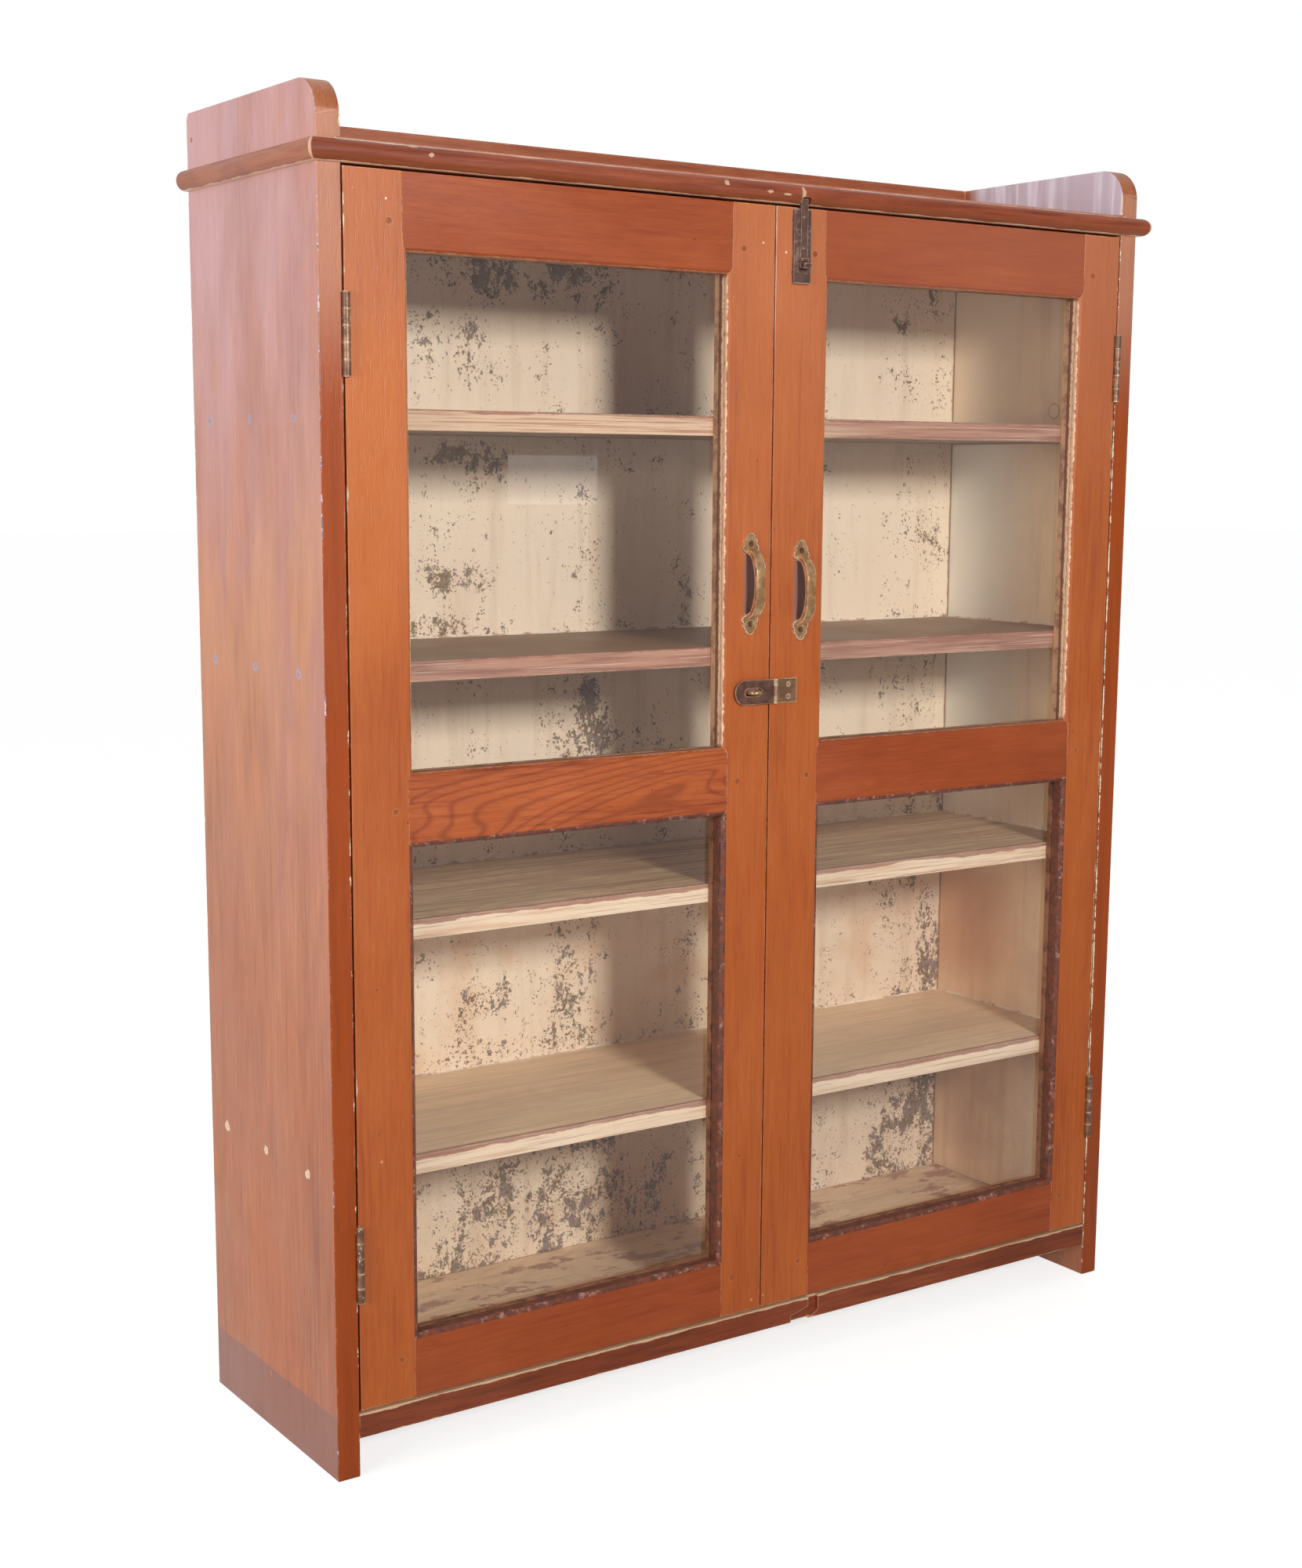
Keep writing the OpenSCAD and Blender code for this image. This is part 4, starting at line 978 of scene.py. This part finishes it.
@dataclass(frozen=True)
class BackDress:
    """Where the paint on the back boards has flaked: upright bands, low down and at the feet.

    A band has its left and right limit, and a patch its X, Z, half width and half height. Both
    end with what they add to the density.
    """

    bands: Tuple[Triple, ...] = (
        (-0.290, -0.165, 0.050), (-0.105, -0.020, 0.055), (0.385, 0.520, 0.070),
        (0.04, 0.11, 0.045), (0.22, 0.29, 0.035), (-0.46, -0.38, 0.05))
    patches: Tuple[Tuple[float, float, float, float, float], ...] = (
        (-0.14, 1.190, 0.130, 0.030, 0.13), (-0.21, 1.112, 0.032, 0.034, 0.10),
        (-0.26, 1.125, 0.020, 0.024, 0.10), (-0.23, 0.998, 0.040, 0.016, 0.12),
        (-0.18, 0.982, 0.060, 0.030, 0.09), (-0.21, 0.862, 0.045, 0.018, 0.12),
        (-0.25, 0.806, 0.060, 0.014, 0.12), (-0.05, 0.722, 0.030, 0.055, 0.10),
        (-0.03, 0.668, 0.060, 0.025, 0.09), (-0.16, 0.385, 0.050, 0.030, 0.08),
        (-0.08, 0.375, 0.022, 0.045, 0.09), (-0.17, 0.325, 0.110, 0.014, 0.08),
        (-0.12, 0.130, 0.100, 0.055, 0.09), (-0.05, 0.230, 0.050, 0.045, 0.08),
        (0.36, 0.110, 0.110, 0.035, 0.03), (0.39, 0.455, 0.045, 0.030, 0.10),
        (0.474, 0.360, 0.018, 0.075, 0.11), (0.47, 0.160, 0.030, 0.050, 0.07))
    least: float = -0.032
    foot: float = 22.0 * MM
    shade: float = 50.0 * MM

    def shadow_under_boards(self, s: Surface) -> Field:
        """Gives 1 just under each shelf and the top board, and falls to 0 below it.

        It places the painted shadow, with some brown stain, under the boards.

        Args:
            s: The surface.

        Returns:
            The mask.
        """
        wobble = s.jitter(26.0, 0.8 * self.shade, stretch=(1.0, 1.0, 0.4))
        depths = [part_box(board)[0].z - s.z for board in (*SHELVES, "top_board")]
        return s.most(*(s.product(s.fade(depth + wobble, self.shade, 0.0), depth > 0.0)
                        for depth in depths))

    def density(self, s: Surface) -> Field:
        """How much paint is gone.

        Args:
            s: The surface.

        Returns:
            The density.
        """
        swayed = s.x + s.jitter(9.0, 0.07)
        value = sum((s.between(swayed, left, right, 0.025) * amount
                     for left, right, amount in self.bands), self.least)
        value = sum((s.fade(s.oval(*oval), 1.6, 0.3) * amount for *oval, amount in self.patches), value)
        tops = [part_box(board)[1].z for board in ("bottom_board", *SHELVES)]
        return (value + s.fade(s.z, 0.55, 0.10) * 0.050
                + s.fade(s.off(s.z, *tops), self.foot, 0.0) * 0.03 + s.jitter(7.0, 0.11))

    def build(self) -> Material:
        """Makes the material: flaked cream paint in front, bare wood behind.

        Returns:
            The material.
        """
        s = Surface("back_boards")
        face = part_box("back_board_3")[0].y
        inner_x = -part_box("left_side")[1].x
        s.colour, height = CREAM.coated(s, self.density(s))
        s.lay((226, 182, 128), s.fade(s.noise(10.0, 4.0, 0.6), 0.50, 0.74), s.fade(s.z, 0.70, 0.45), 0.38,
              mode="MULTIPLY")
        s.lay((214, 208, 206), s.fade(s.x, 0.12, 0.22), s.fade(s.z, 0.55, 0.45), 0.40, mode="MULTIPLY")
        # Painted shadow, with some brown stain, under the shelves and the top board.
        s.lay((146, 108, 76), self.shadow_under_boards(s) * 0.34)
        # Painted shade in the back corners: a dark line where the back boards meet the sides, partly a dirty
        # joint.
        nearer = abs(s.x) + s.jitter(60.0, 4.0 * MM)
        s.lay((150, 98, 60), s.fade(nearer, inner_x - 2.6 * MM, inner_x - 1.2 * MM) * 0.8)
        wood, grain = BARE_BACK.wood(s)
        s.lay(wood, s.fade(s.y, face + 0.4 * MM, face + 0.8 * MM))
        return s.finish(0.62, height + grain * 0.3, 0.14 * MM)


@dataclass(frozen=True)
class OldMetal:
    """Cast or pressed metal under patina, pale at the arrises: rubbed metal and painted glint."""

    name: str
    rubbed_and_glint: Colour
    patina: Colour
    crust: Colour
    metallic: float = 0.85
    roughness: float = 0.42
    reach: float = 1.6 * MM
    paint: float = 0.0
    wear: float = 0.08
    fleck: Colour = (214, 190, 160)

    def build(self) -> Material:
        """Makes the material.

        Returns:
            The material.
        """
        s = Surface(self.name)
        cloud = s.noise(95.0, 4.0, 0.6)
        s.colour = s.blend(s.fade(cloud, 0.38, 0.62), self.patina, self.crust)
        # Rubbed metal and painted glint at the arrises.
        s.lay(self.rubbed_and_glint, s.effect(Effect.WEAR, Reach=self.reach, Amount=self.wear)["Mask"])
        fleck = s.product(s.fade(s.noise(170.0, 4.0, 0.7), 0.66 - self.paint, 0.70 - self.paint),
                          1.0 if self.paint > 0 else 0.0)
        s.lay(self.fleck, fleck)
        bare = s.math("SUBTRACT", 1.0, s.fade(cloud, 0.45, 0.7) * 0.5, True)
        s.feed(s.shader.inputs["Metallic"], s.product(bare, 1.0 - fleck, self.metallic))
        return s.finish(cloud * 0.25 + (self.roughness - 0.1), s.noise(620.0, 3.0, 0.6), 0.08 * MM)


FILLER = Filler()
# The brass's near-white arrises are painted glint as well as wear.
BRASS = OldMetal("old_brass", (255, 242, 220), (222, 178, 130), (158, 116, 76), metallic=0.60,
                 roughness=0.24, wear=0.13)
BRASS_SCREW = OldMetal("brass_screws", (146, 102, 72), (120, 82, 60), (86, 58, 44), metallic=0.4, wear=-0.3)
HINGE = OldMetal("hinge_metal", (220, 192, 160), (148, 110, 86), (104, 72, 54), metallic=0.4, paint=0.05)
LOCK = OldMetal("lock_metal", (196, 158, 130), (122, 86, 68), (86, 58, 48), metallic=0.45, roughness=0.44)
LEAF = OldMetal("hasp_leaf_metal", (212, 184, 146), (152, 116, 84), (116, 84, 62), metallic=0.5, wear=0.16)
BOLT = OldMetal("bolt_metal", (186, 156, 140), (114, 86, 76), (90, 64, 56), metallic=0.4, wear=0.06)
RIVET = OldMetal("rivet_metal", (150, 118, 104), (118, 90, 80), (92, 66, 58), metallic=0.3, wear=-0.3)
NAIL = OldMetal("nail_heads", (176, 166, 170), (142, 124, 130), (112, 98, 100), metallic=0.1, roughness=0.7)


def bead_finish() -> Material:
    """Glazing beads: dark, dirty wood below, and straw-coloured above the middle rails.

    Returns:
        The material.
    """
    s = Surface("bead_paint")
    rag = s.noise(70.0, 5.0, 0.65)
    dirt = s.fade(rag, 0.45, 0.62)
    brown = s.blend(dirt, (150, 100, 72), (104, 62, 46))
    straw = s.blend(dirt, (196, 150, 116), (146, 102, 78))
    s.colour = s.blend(s.fade(s.z, 0.64, 0.68), brown, straw)
    return s.finish(0.7, rag, 0.2 * MM)


def filled_nail_finish() -> Material:
    """Nail heads on the sides: stained over, or under filler where the filler is left.

    Returns:
        The material.
    """
    s = Surface("filled_nails")
    rag = s.noise(240.0, 4.0, 0.65)
    s.colour = s.blend(s.fade(rag, 0.42, 0.60), (156, 98, 72), (176, 116, 84))
    s.lay(FILLER.tint(s), FILLER.level(s), s.fade(rag, 0.62, 0.50), 0.8)
    return s.finish(0.6, rag, 0.1 * MM)


def fillet_finish() -> Material:
    """Whitish filler with dirt in it.

    Returns:
        The material.
    """
    s = Surface("old_filler")
    dirt = s.fade(s.noise(60.0, 5.0, 0.7), 0.48, 0.62)
    s.feed(s.shader.inputs["Base Color"], s.blend(dirt, (240, 226, 204), (196, 156, 120)))
    s.shader.inputs["Roughness"].default_value = 0.7
    return s.material


def glass_finish() -> Material:
    """Clear sheet glass that lets light from the lamps and from walls straight through.

    Returns:
        The material.
    """
    material, g, shader = new_material("clear_glass")
    for name, value in (("Base Color", (0.99, 0.992, 0.988, 1.0)), ("Metallic", 0.0),
                        ("Transmission Weight", 1.0), ("Roughness", 0.0), ("IOR", 1.45)):
        shader.inputs[name].default_value = value
    path = g.add("LightPath").outputs
    passing = g.math("MAXIMUM", path["Is Shadow Ray"], path["Is Diffuse Ray"])
    clear = g.add("BsdfTransparent")
    clear.inputs["Color"].default_value = (0.98, 0.98, 0.975, 1.0)
    mix = g.add("MixShader", None, passing, shader.outputs[0], clear.outputs[0])
    g.feed(material.node_tree.nodes["Material Output"].inputs["Surface"], mix.outputs[0])
    return material


def read(items: bpy.types.bpy_prop_collection, name: str, kind: type = float, wide: int = 1) -> Points:
    """Reads one property of a mesh's vertices, edges, faces or corners.

    Args:
        items: The vertices, edges, faces or corners.
        name: The property.
        kind: The type of its numbers.
        wide: How many numbers it has.

    Returns:
        An array with one row for each item, or one number where wide is 1.
    """
    values = np.empty(len(items) * wide, kind)
    items.foreach_get(name, values)
    return values.reshape(-1, wide) if wide > 1 else values


def edge_table(mesh: bpy.types.Mesh) -> Dict[str, Points]:
    """Works out each edge's length and direction and how its two faces meet, as whole arrays.

    The loops are sorted by edge, so an edge's two faces stand side by side. An edge is
    outward where the second face's middle lies below the first face's plane.

    Args:
        mesh: The mesh.

    Returns:
        Arrays named pair, length, run, bend and outward.
    """
    ends = read(mesh.edges, "vertices", np.int32, 2)
    spots = read(mesh.vertices, "co", wide=3)
    normals = read(mesh.polygons, "normal", wide=3)
    middles = read(mesh.polygons, "center", wide=3)
    edge_of = read(mesh.loops, "edge_index", np.int32)
    sides = read(mesh.polygons, "loop_total", np.int32)
    face_of = np.repeat(np.arange(len(sides)), sides)
    order = np.argsort(edge_of, kind="stable")
    count = np.bincount(edge_of, minlength=len(ends))
    first = np.minimum(np.cumsum(count) - count, len(order) - 1)
    second = np.minimum(first + 1, len(order) - 1)
    one, two = face_of[order[first]], face_of[order[second]]
    step = spots[ends[:, 1]] - spots[ends[:, 0]]
    length = np.linalg.norm(step, axis=1)
    return {
        "pair": count == 2,
        "length": length,
        "run": np.abs(step) / np.maximum(length, 1e-9)[:, None],
        "bend": np.einsum("ij,ij->i", normals[one], normals[two]),
        "outward": np.einsum("ij,ij->i", normals[one], middles[two] - middles[one]) < 0.0,
    }


def add_piece(mesh: bpy.types.Mesh, material: Material) -> bpy.types.Object:
    """Puts a mesh into the scene with its finish, under the mesh's own name.

    Args:
        mesh: The mesh.
        material: The finish.

    Returns:
        The piece.
    """
    mesh.materials.append(material)
    piece = bpy.data.objects.new(mesh.name, mesh)
    bpy.context.scene.collection.objects.link(piece)
    return piece


@dataclass
class Worked:
    """A CAD node's copy with merged vertices, smooth shading and softened arrises."""

    node: str
    arris: float = 1.2 * MM
    along: Tuple[Grain, ...] = ()
    shortest: float = 25.0 * MM
    flat: float = math.radians(0.5)
    sharp: float = math.cos(math.radians(32.0))

    def mesh(self) -> bpy.types.Mesh:
        """Copies the node's mesh, merges it and joins what lies in one plane.

        Returns:
            The new mesh.
        """
        mesh = frame["nodes"][self.node].data.copy()
        mesh.name = self.node + "_worked"
        bm = bmesh.new()
        bm.from_mesh(mesh)
        bmesh.ops.remove_doubles(bm, verts=bm.verts, dist=1e-6)
        bmesh.ops.dissolve_limit(bm, angle_limit=self.flat, verts=bm.verts, edges=bm.edges,
                                 use_dissolve_boundaries=False)
        bm.to_mesh(mesh)
        bm.free()
        mesh.materials.clear()
        mesh.update()
        return mesh

    def mark(self, mesh: bpy.types.Mesh) -> None:
        """Marks the long square arrises for the bevel and the other sharp edges as sharp.

        Args:
            mesh: The merged mesh.
        """
        edges = edge_table(mesh)
        runs = np.zeros(len(mesh.edges), bool)
        for axis in self.along:
            runs |= edges["run"][:, axis.value] > 0.999
        soft = edges["pair"] & edges["outward"] & runs
        soft &= (edges["bend"] < 0.5) & (edges["length"] > self.shortest)
        weight = mesh.attributes.new("bevel_weight_edge", "FLOAT", "EDGE")
        weight.data.foreach_set("value", soft.astype(np.float32))
        hard = (edges["bend"] < self.sharp) & ~soft
        crease = mesh.attributes.get("sharp_edge") or mesh.attributes.new("sharp_edge", "BOOLEAN", "EDGE")
        crease.data.foreach_set("value", hard)
        mesh.polygons.foreach_set("use_smooth", np.ones(len(mesh.polygons), bool))

    def build(self, material: Material) -> None:
        """Makes the piece, which rides where its node does and stands for it.

        Args:
            material: The finish.
        """
        mesh = self.mesh()
        self.mark(mesh)
        piece = add_piece(mesh, material)
        if self.along:
            bevel = piece.modifiers.new("arrises", "BEVEL")
            bevel.limit_method = "WEIGHT"
            bevel.width = self.arris
            bevel.segments = 3
            bevel.use_clamp_overlap = False
            level = piece.modifiers.new("flat_faces", "WEIGHTED_NORMAL")
            level.mode = "FACE_AREA"
            level.weight = 50
            level.keep_sharp = True
        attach(piece, frame["nodes"][self.node]["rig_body"])
        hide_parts(self.node)
        LOG.info("%s stands for %s", piece.name, self.node)


def dress(material: Material, *nodes: str) -> None:
    """Gives CAD nodes whose shape is right their finish.

    Args:
        material: The finish.
        nodes: The nodes' names.
    """
    for node in nodes:
        for slot in frame["nodes"][node].material_slots:
            slot.material = material
        LOG.info("%s has %s", node, material.name)


@dataclass
class Carcass:
    """Sides, top, rails and mouldings of the case. chips are bare spots on the front moulding."""

    arris: float = 1.2 * MM
    trim_arris: float = 0.8 * MM
    worn_line: Tuple[float, float] = (1.0 * MM, 0.8 * MM)
    chips: Tuple[Oval, ...] = (
        (-0.0206, 1.2592, 0.0040, 0.0016), (0.0020, 1.2580, 0.0060, 0.0010),
        (0.0227, 1.2609, 0.0026, 0.0055), (-0.0748, 1.2634, 0.0026, 0.0028),
        (-0.4274, 1.2700, 0.0050, 0.0030), (-0.4100, 1.2620, 0.0030, 0.0020))

    def build(self) -> None:
        """Builds and dresses the case."""
        case = CASE.build(SideDress())
        across = CASE_ACROSS.build()
        for side in ("left_side", "right_side"):
            Worked(side, self.arris, (Grain.ALONG_Z, Grain.ALONG_Y)).build(case)
        Worked("top_board", self.trim_arris, (Grain.ALONG_X,)).build(across)
        Worked("back_rail", self.arris, (Grain.ALONG_X,)).build(across)
        plinth = PLINTH.build(TrimDress("plinth_rail", 2.4 * MM, 0.2 * MM, (214, 176, 138)))
        Worked("plinth_rail", self.trim_arris, (Grain.ALONG_X,)).build(plinth)
        front = TrimDress("front_moulding", *self.worn_line, spots=self.chips, painted_underside_shade=0.5)
        Worked("front_moulding").build(MOULDING.build(front))
        side_moulding = SIDE_MOULDING.build(TrimDress("front_moulding", *self.worn_line))
        for node in ("left_moulding", "right_moulding"):
            Worked(node).build(side_moulding)
        dress(filled_nail_finish(), "side_nails")
        dress(NAIL.build(), "back_nails")


@dataclass
class Fillets:
    """Ragged beads of old paint and filler where the shelves meet the back and the sides.

    The section is a hollow quarter round between the wall and the shelf. Its radius r
    changes along the bead as a sum of sines with random phases, and falls to nothing at
    both ends. With a the angle round the quarter, a point stands r (1 - cos a) out from
    the wall and r (1 - sin a) above the shelf.
    """

    radius: float = 3.8 * MM
    sunk: float = 0.15 * MM
    pitch: float = 3.0 * MM
    set_back: float = 20.0 * MM
    around: int = 6
    waves: int = 24
    seed: int = 7

    def bead(self, start: Vector, end: Vector, out: Vector,
             rng: np.random.Generator) -> Tuple[Points, Points]:
        """One bead.

        Args:
            start: Where the wall and the shelf meet, at one end.
            end: The same at the other end.
            out: Unit vector away from the wall.
            rng: Source of the random phases.

        Returns:
            The points and the quads.
        """
        run = np.array(end) - np.array(start)
        count = max(int(np.linalg.norm(run) / self.pitch), 8)
        t = np.linspace(0.0, 1.0, count)
        beat = rng.uniform(2.0, 0.4 * count, self.waves)
        phase = rng.uniform(0.0, math.tau, self.waves)
        ripple = np.sin(math.tau * np.outer(t, beat) + phase).sum(1) / math.sqrt(self.waves)
        r = self.radius * np.clip(0.62 + 0.30 * ripple, 0.12, 1.2)
        r *= np.clip(12.0 * np.minimum(t, 1.0 - t), 0.02, 1.0)
        a = np.linspace(0.0, math.pi / 2, self.around)
        away = np.append(np.outer(r, 1.0 - np.cos(a)), np.full((count, 1), -self.sunk), axis=1)
        rise = np.append(np.outer(r, 1.0 - np.sin(a)), np.full((count, 1), -self.sunk), axis=1)
        away[:, 0] = -self.sunk
        rise[:, -2] = -self.sunk
        spine = np.array(start) + np.outer(t, run)
        points = (spine[:, None, :] + away[:, :, None] * np.array(out)
                  + rise[:, :, None] * np.array((0.0, 0.0, 1.0)))
        ring = self.around + 1
        i, j = np.meshgrid(np.arange(count - 1), np.arange(ring), indexing="ij")
        quads = np.stack([i * ring + j, i * ring + (j + 1) % ring,
                          (i + 1) * ring + (j + 1) % ring, (i + 1) * ring + j], axis=-1).reshape(-1, 4)
        return points.reshape(-1, 3), quads

    def build(self, material: Material) -> None:
        """Builds all beads as one piece on the case.

        Args:
            material: The finish.
        """
        rng = np.random.default_rng(self.seed)
        left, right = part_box("left_side")[1].x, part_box("right_side")[0].x
        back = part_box("back_board_3")[0].y
        points, quads, total = [], [], 0
        for shelf in SHELVES:
            low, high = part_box(shelf)
            front = low.y + self.set_back
            for start, end, out in (((left, back), (right, back), (0.0, -1.0, 0.0)),
                                    ((right, back), (right, front), (-1.0, 0.0, 0.0)),
                                    ((left, front), (left, back), (1.0, 0.0, 0.0))):
                more, faces = self.bead(Vector((*start, high.z)), Vector((*end, high.z)), Vector(out), rng)
                points.append(more)
                quads.append(faces + total)
                total += len(more)
        mesh = bpy.data.meshes.new("shelf_fillets")
        mesh.from_pydata(np.concatenate(points).tolist(), [], np.concatenate(quads).tolist())
        mesh.polygons.foreach_set("use_smooth", np.ones(len(mesh.polygons), bool))
        piece = add_piece(mesh, material)
        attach(piece, frame["nodes"]["shelf_1"]["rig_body"])


@dataclass
class PaintSkin:
    """Skins of paint that bridge the gaps between the back boards, on their front faces."""

    half: float = 2.0 * MM
    proud: float = 0.06 * MM
    sunk: float = 0.2 * MM
    count: int = 5

    def build(self, material: Material) -> None:
        """Builds one flat box over each gap, between the bottom board and the top board.

        Args:
            material: The back boards' finish.
        """
        boards = [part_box(f"back_board_{i}") for i in range(1, self.count + 1)]
        middles = [(a[1].x + b[0].x) / 2 for a, b in zip(boards, boards[1:])]
        front, rear = boards[0][0].y - self.proud, boards[0][0].y + self.sunk
        ends = (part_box("bottom_board")[1].z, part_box("top_board")[0].z)
        section = ((-self.half, front), (self.half, front), (self.half, rear), (-self.half, rear))
        points = [(middle + x, y, z) for middle in middles for z in ends for x, y in section]
        box = ((0, 1, 5, 4), (1, 2, 6, 5), (2, 3, 7, 6), (3, 0, 4, 7), (3, 2, 1, 0), (4, 5, 6, 7))
        quads = [[8 * i + corner for corner in quad] for i in range(len(middles)) for quad in box]
        mesh = bpy.data.meshes.new("paint_skin")
        mesh.from_pydata(points, [], quads)
        piece = add_piece(mesh, material)
        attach(piece, frame["nodes"]["back_board_1"]["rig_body"])


@dataclass
class Shelves:
    """Bottom board, shelves and back boards."""

    arris: float = 0.8 * MM

    def build(self) -> None:
        """Builds and dresses the boards."""
        floor = SHELF_WOOD.build(blotched_floor)
        shelf = SHELF_WOOD.build(ShelfDress())
        for node in ("bottom_board", *SHELVES):
            wood = floor if node == "bottom_board" else shelf
            Worked(node, self.arris, (Grain.ALONG_X,)).build(wood)
        back = BackDress().build()
        for i in range(1, 6):
            Worked(f"back_board_{i}").build(back)
        PaintSkin().build(back)
        Fillets().build(fillet_finish())


@dataclass
class Door:
    """One door: its frame, panes, beads, pegs and handle."""

    side: str
    stile: Material
    rail: Material
    mid_rail: Material
    arris: float = 0.5 * MM

    def build(self, finishes: Dict[str, Material]) -> None:
        """Builds and dresses the door.

        Args:
            finishes: The finishes that both doors share, by name.
        """
        for name, wood, along in (
                ("hinge_stile", self.stile, Grain.ALONG_Z), ("meeting_stile", self.stile, Grain.ALONG_Z),
                ("top_rail", self.rail, Grain.ALONG_X), ("mid_rail", self.mid_rail, Grain.ALONG_X),
                ("bottom_rail", self.rail, Grain.ALONG_X)):
            Worked(f"{self.side}_{name}", self.arris, (along,)).build(wood)
        for name, finish in (("handle", "brass"), ("door_hinge_leaves", "hinge")):
            Worked(f"{self.side}_{name}").build(finishes[finish])
        for name, finish in (("upper_glass", "glass"), ("lower_glass", "glass"), ("glazing_beads", "bead"),
                             ("pegs", "peg"), ("handle_screws", "screw"), ("door_hinge_screws", "hinge")):
            dress(finishes[finish], f"{self.side}_{name}")


@dataclass
class Hardware:
    """Hinge leaves on the sides, hasp, staple and slide bolt."""

    finish_of: Tuple[Tuple[str, str], ...] = (
        ("side_hinge_leaves", "hinge"), ("hasp_leaf", "leaf"), ("hasp_strap", "lock"),
        ("hasp_staple", "brass"), ("bolt_plate", "bolt"), ("bolt_bar", "bolt"), ("bolt_rivets", "rivet"))

    def build(self, finishes: Dict[str, Material]) -> None:
        """Dresses the hardware.

        Args:
            finishes: The metal finishes, by name.
        """
        for node, finish in self.finish_of:
            Worked(node).build(finishes[finish])
        dress(finishes["hinge"], "hinge_pins", "side_hinge_screws")
        dress(finishes["lock"], "hasp_pin", "hasp_screws")


@dataclass(frozen=True)
class Lamp:
    """A flat lamp: its name, place, width and height, and its power in watts."""

    name: str
    at: Triple
    size: Tuple[float, float]
    power: float

    def build(self, target: Vector) -> None:
        """Hangs the lamp, unseen by the camera.

        Args:
            target: What it faces.
        """
        data = bpy.data.lights.new(self.name, "AREA")
        data.shape = "RECTANGLE"
        data.size, data.size_y = self.size
        data.energy = self.power
        lamp = bpy.data.objects.new(self.name, data)
        lamp.rotation_euler = (target - Vector(self.at)).to_track_quat("-Z", "Y").to_euler()
        lamp.location = self.at
        lamp.visible_camera = False
        bpy.context.scene.collection.objects.link(lamp)


@dataclass
class Studio:
    """Floor, surround, lamps and camera. yaw, pitch and roll are in radians, lens in millimetres."""

    eye: Triple = (-1.41307, -1.96958, 0.97903)
    yaw: float = 0.60673
    pitch: float = -0.15662
    roll: float = 0.00708
    lens: float = 60.680
    shift: Tuple[float, float] = (-0.00976, 0.02576)
    floor_half: float = 30.0
    floor_drop: float = 0.3 * MM
    floor_glow: float = 0.68
    front_level: float = 0.125
    back_level: float = 1.0
    target: Triple = (0.0, -0.1, 0.7)
    lamps: Tuple[Lamp, ...] = (
        Lamp("key", (-0.4, -3.1, 1.64), (0.45, 0.45), 74.0),
        Lamp("fill", (-3.4, -1.3, 1.2), (1.0, 1.0), 38.0),
        Lamp("side_panel", (-3.2, 0.4, 1.3), (2.2, 2.2), 26.0),
        Lamp("window", (1.465, -2.9, 0.955), (0.22, 0.12), 0.08))

    def camera(self) -> None:
        """Puts the camera where the photograph was taken from.

        The view's right, up and back vectors come from its yaw, pitch and roll.
        """
        forward = Vector((math.sin(self.yaw) * math.cos(self.pitch),
                          math.cos(self.yaw) * math.cos(self.pitch), math.sin(self.pitch)))
        level = Vector((math.cos(self.yaw), -math.sin(self.yaw), 0.0))
        upright = level.cross(forward)
        right = level * math.cos(self.roll) + upright * math.sin(self.roll)
        up = upright * math.cos(self.roll) - level * math.sin(self.roll)
        data = bpy.data.cameras.new("camera")
        data.sensor_fit = "HORIZONTAL"
        data.sensor_width = 36.0
        data.lens = self.lens
        data.shift_x, data.shift_y = self.shift
        data.clip_end = 200.0
        eye = bpy.data.objects.new("camera", data)
        turn = Matrix((right, up, -forward)).transposed().to_4x4()
        eye.matrix_world = Matrix.Translation(self.eye) @ turn
        bpy.context.scene.collection.objects.link(eye)
        bpy.context.scene.camera = eye

    def surround(self) -> None:
        """A pale surround: white to the camera, dimmer in front of the doors for the light."""
        world = bpy.data.worlds.new("surround")
        bpy.context.scene.world = world
        world.use_nodes = True
        g = Graph(world.node_tree)
        g.at = g.add("TexCoord").outputs["Generated"]
        level = g.add("Math", {"operation": "MULTIPLY_ADD"}, g.fade(g.parts()[1], -0.45, 0.25),
                      self.back_level - self.front_level, self.front_level)
        backdrop = world.node_tree.nodes["Background"]
        backdrop.inputs["Color"].default_value = (1.0, 1.0, 1.0, 1.0)
        g.feed(backdrop.inputs["Strength"], g.most(level.outputs[0], g.seen()))

    def floor(self) -> None:
        """A white floor that keeps the cabinet's soft shadow."""
        material, g, shader = new_material("studio_floor")
        for name, value in (("Base Color", (0.5, 0.5, 0.5, 1.0)), ("Roughness", 0.9),
                            ("Specular IOR Level", 0.0), ("Emission Color", (1.0, 1.0, 1.0, 1.0))):
            shader.inputs[name].default_value = value
        g.feed(shader.inputs["Emission Strength"], g.seen() * self.floor_glow)
        half = self.floor_half
        mesh = bpy.data.meshes.new("floor")
        corners = [(-half, -half), (half, -half), (half, half), (-half, half)]
        mesh.from_pydata([(x, y, -self.floor_drop) for x, y in corners], [], [(0, 1, 2, 3)])
        floor = add_piece(mesh, material)
        floor.visible_glossy = False

    def build(self) -> None:
        """Builds the studio."""
        bpy.context.scene.view_settings.view_transform = "Standard"
        self.surround()
        self.floor()
        for lamp in self.lamps:
            lamp.build(Vector(self.target))
        self.camera()


def main() -> None:
    """Builds the studio and the cabinet's pieces in order."""
    logging.basicConfig(level=logging.INFO, format="%(name)s: %(message)s")
    Studio().build()
    Carcass().build()
    Shelves().build()
    kinds = {"brass": BRASS, "screw": BRASS_SCREW, "hinge": HINGE, "lock": LOCK, "leaf": LEAF,
             "bolt": BOLT, "rivet": RIVET}
    metals = {name: metal.build() for name, metal in kinds.items()}
    shared = {"glass": glass_finish(), "bead": bead_finish(), "peg": PEG.build(), **metals}
    stile = STILE.build(FrameDress(painted_sheen=0.24))
    rail, bold = (finish.build(FrameDress()) for finish in (RAIL, BOLD_RAIL))
    for side in ("left", "right"):
        Door(side, stile, rail, bold if side == "left" else rail).build(shared)
    Hardware().build(metals)


if __name__ == "__main__":
    main()
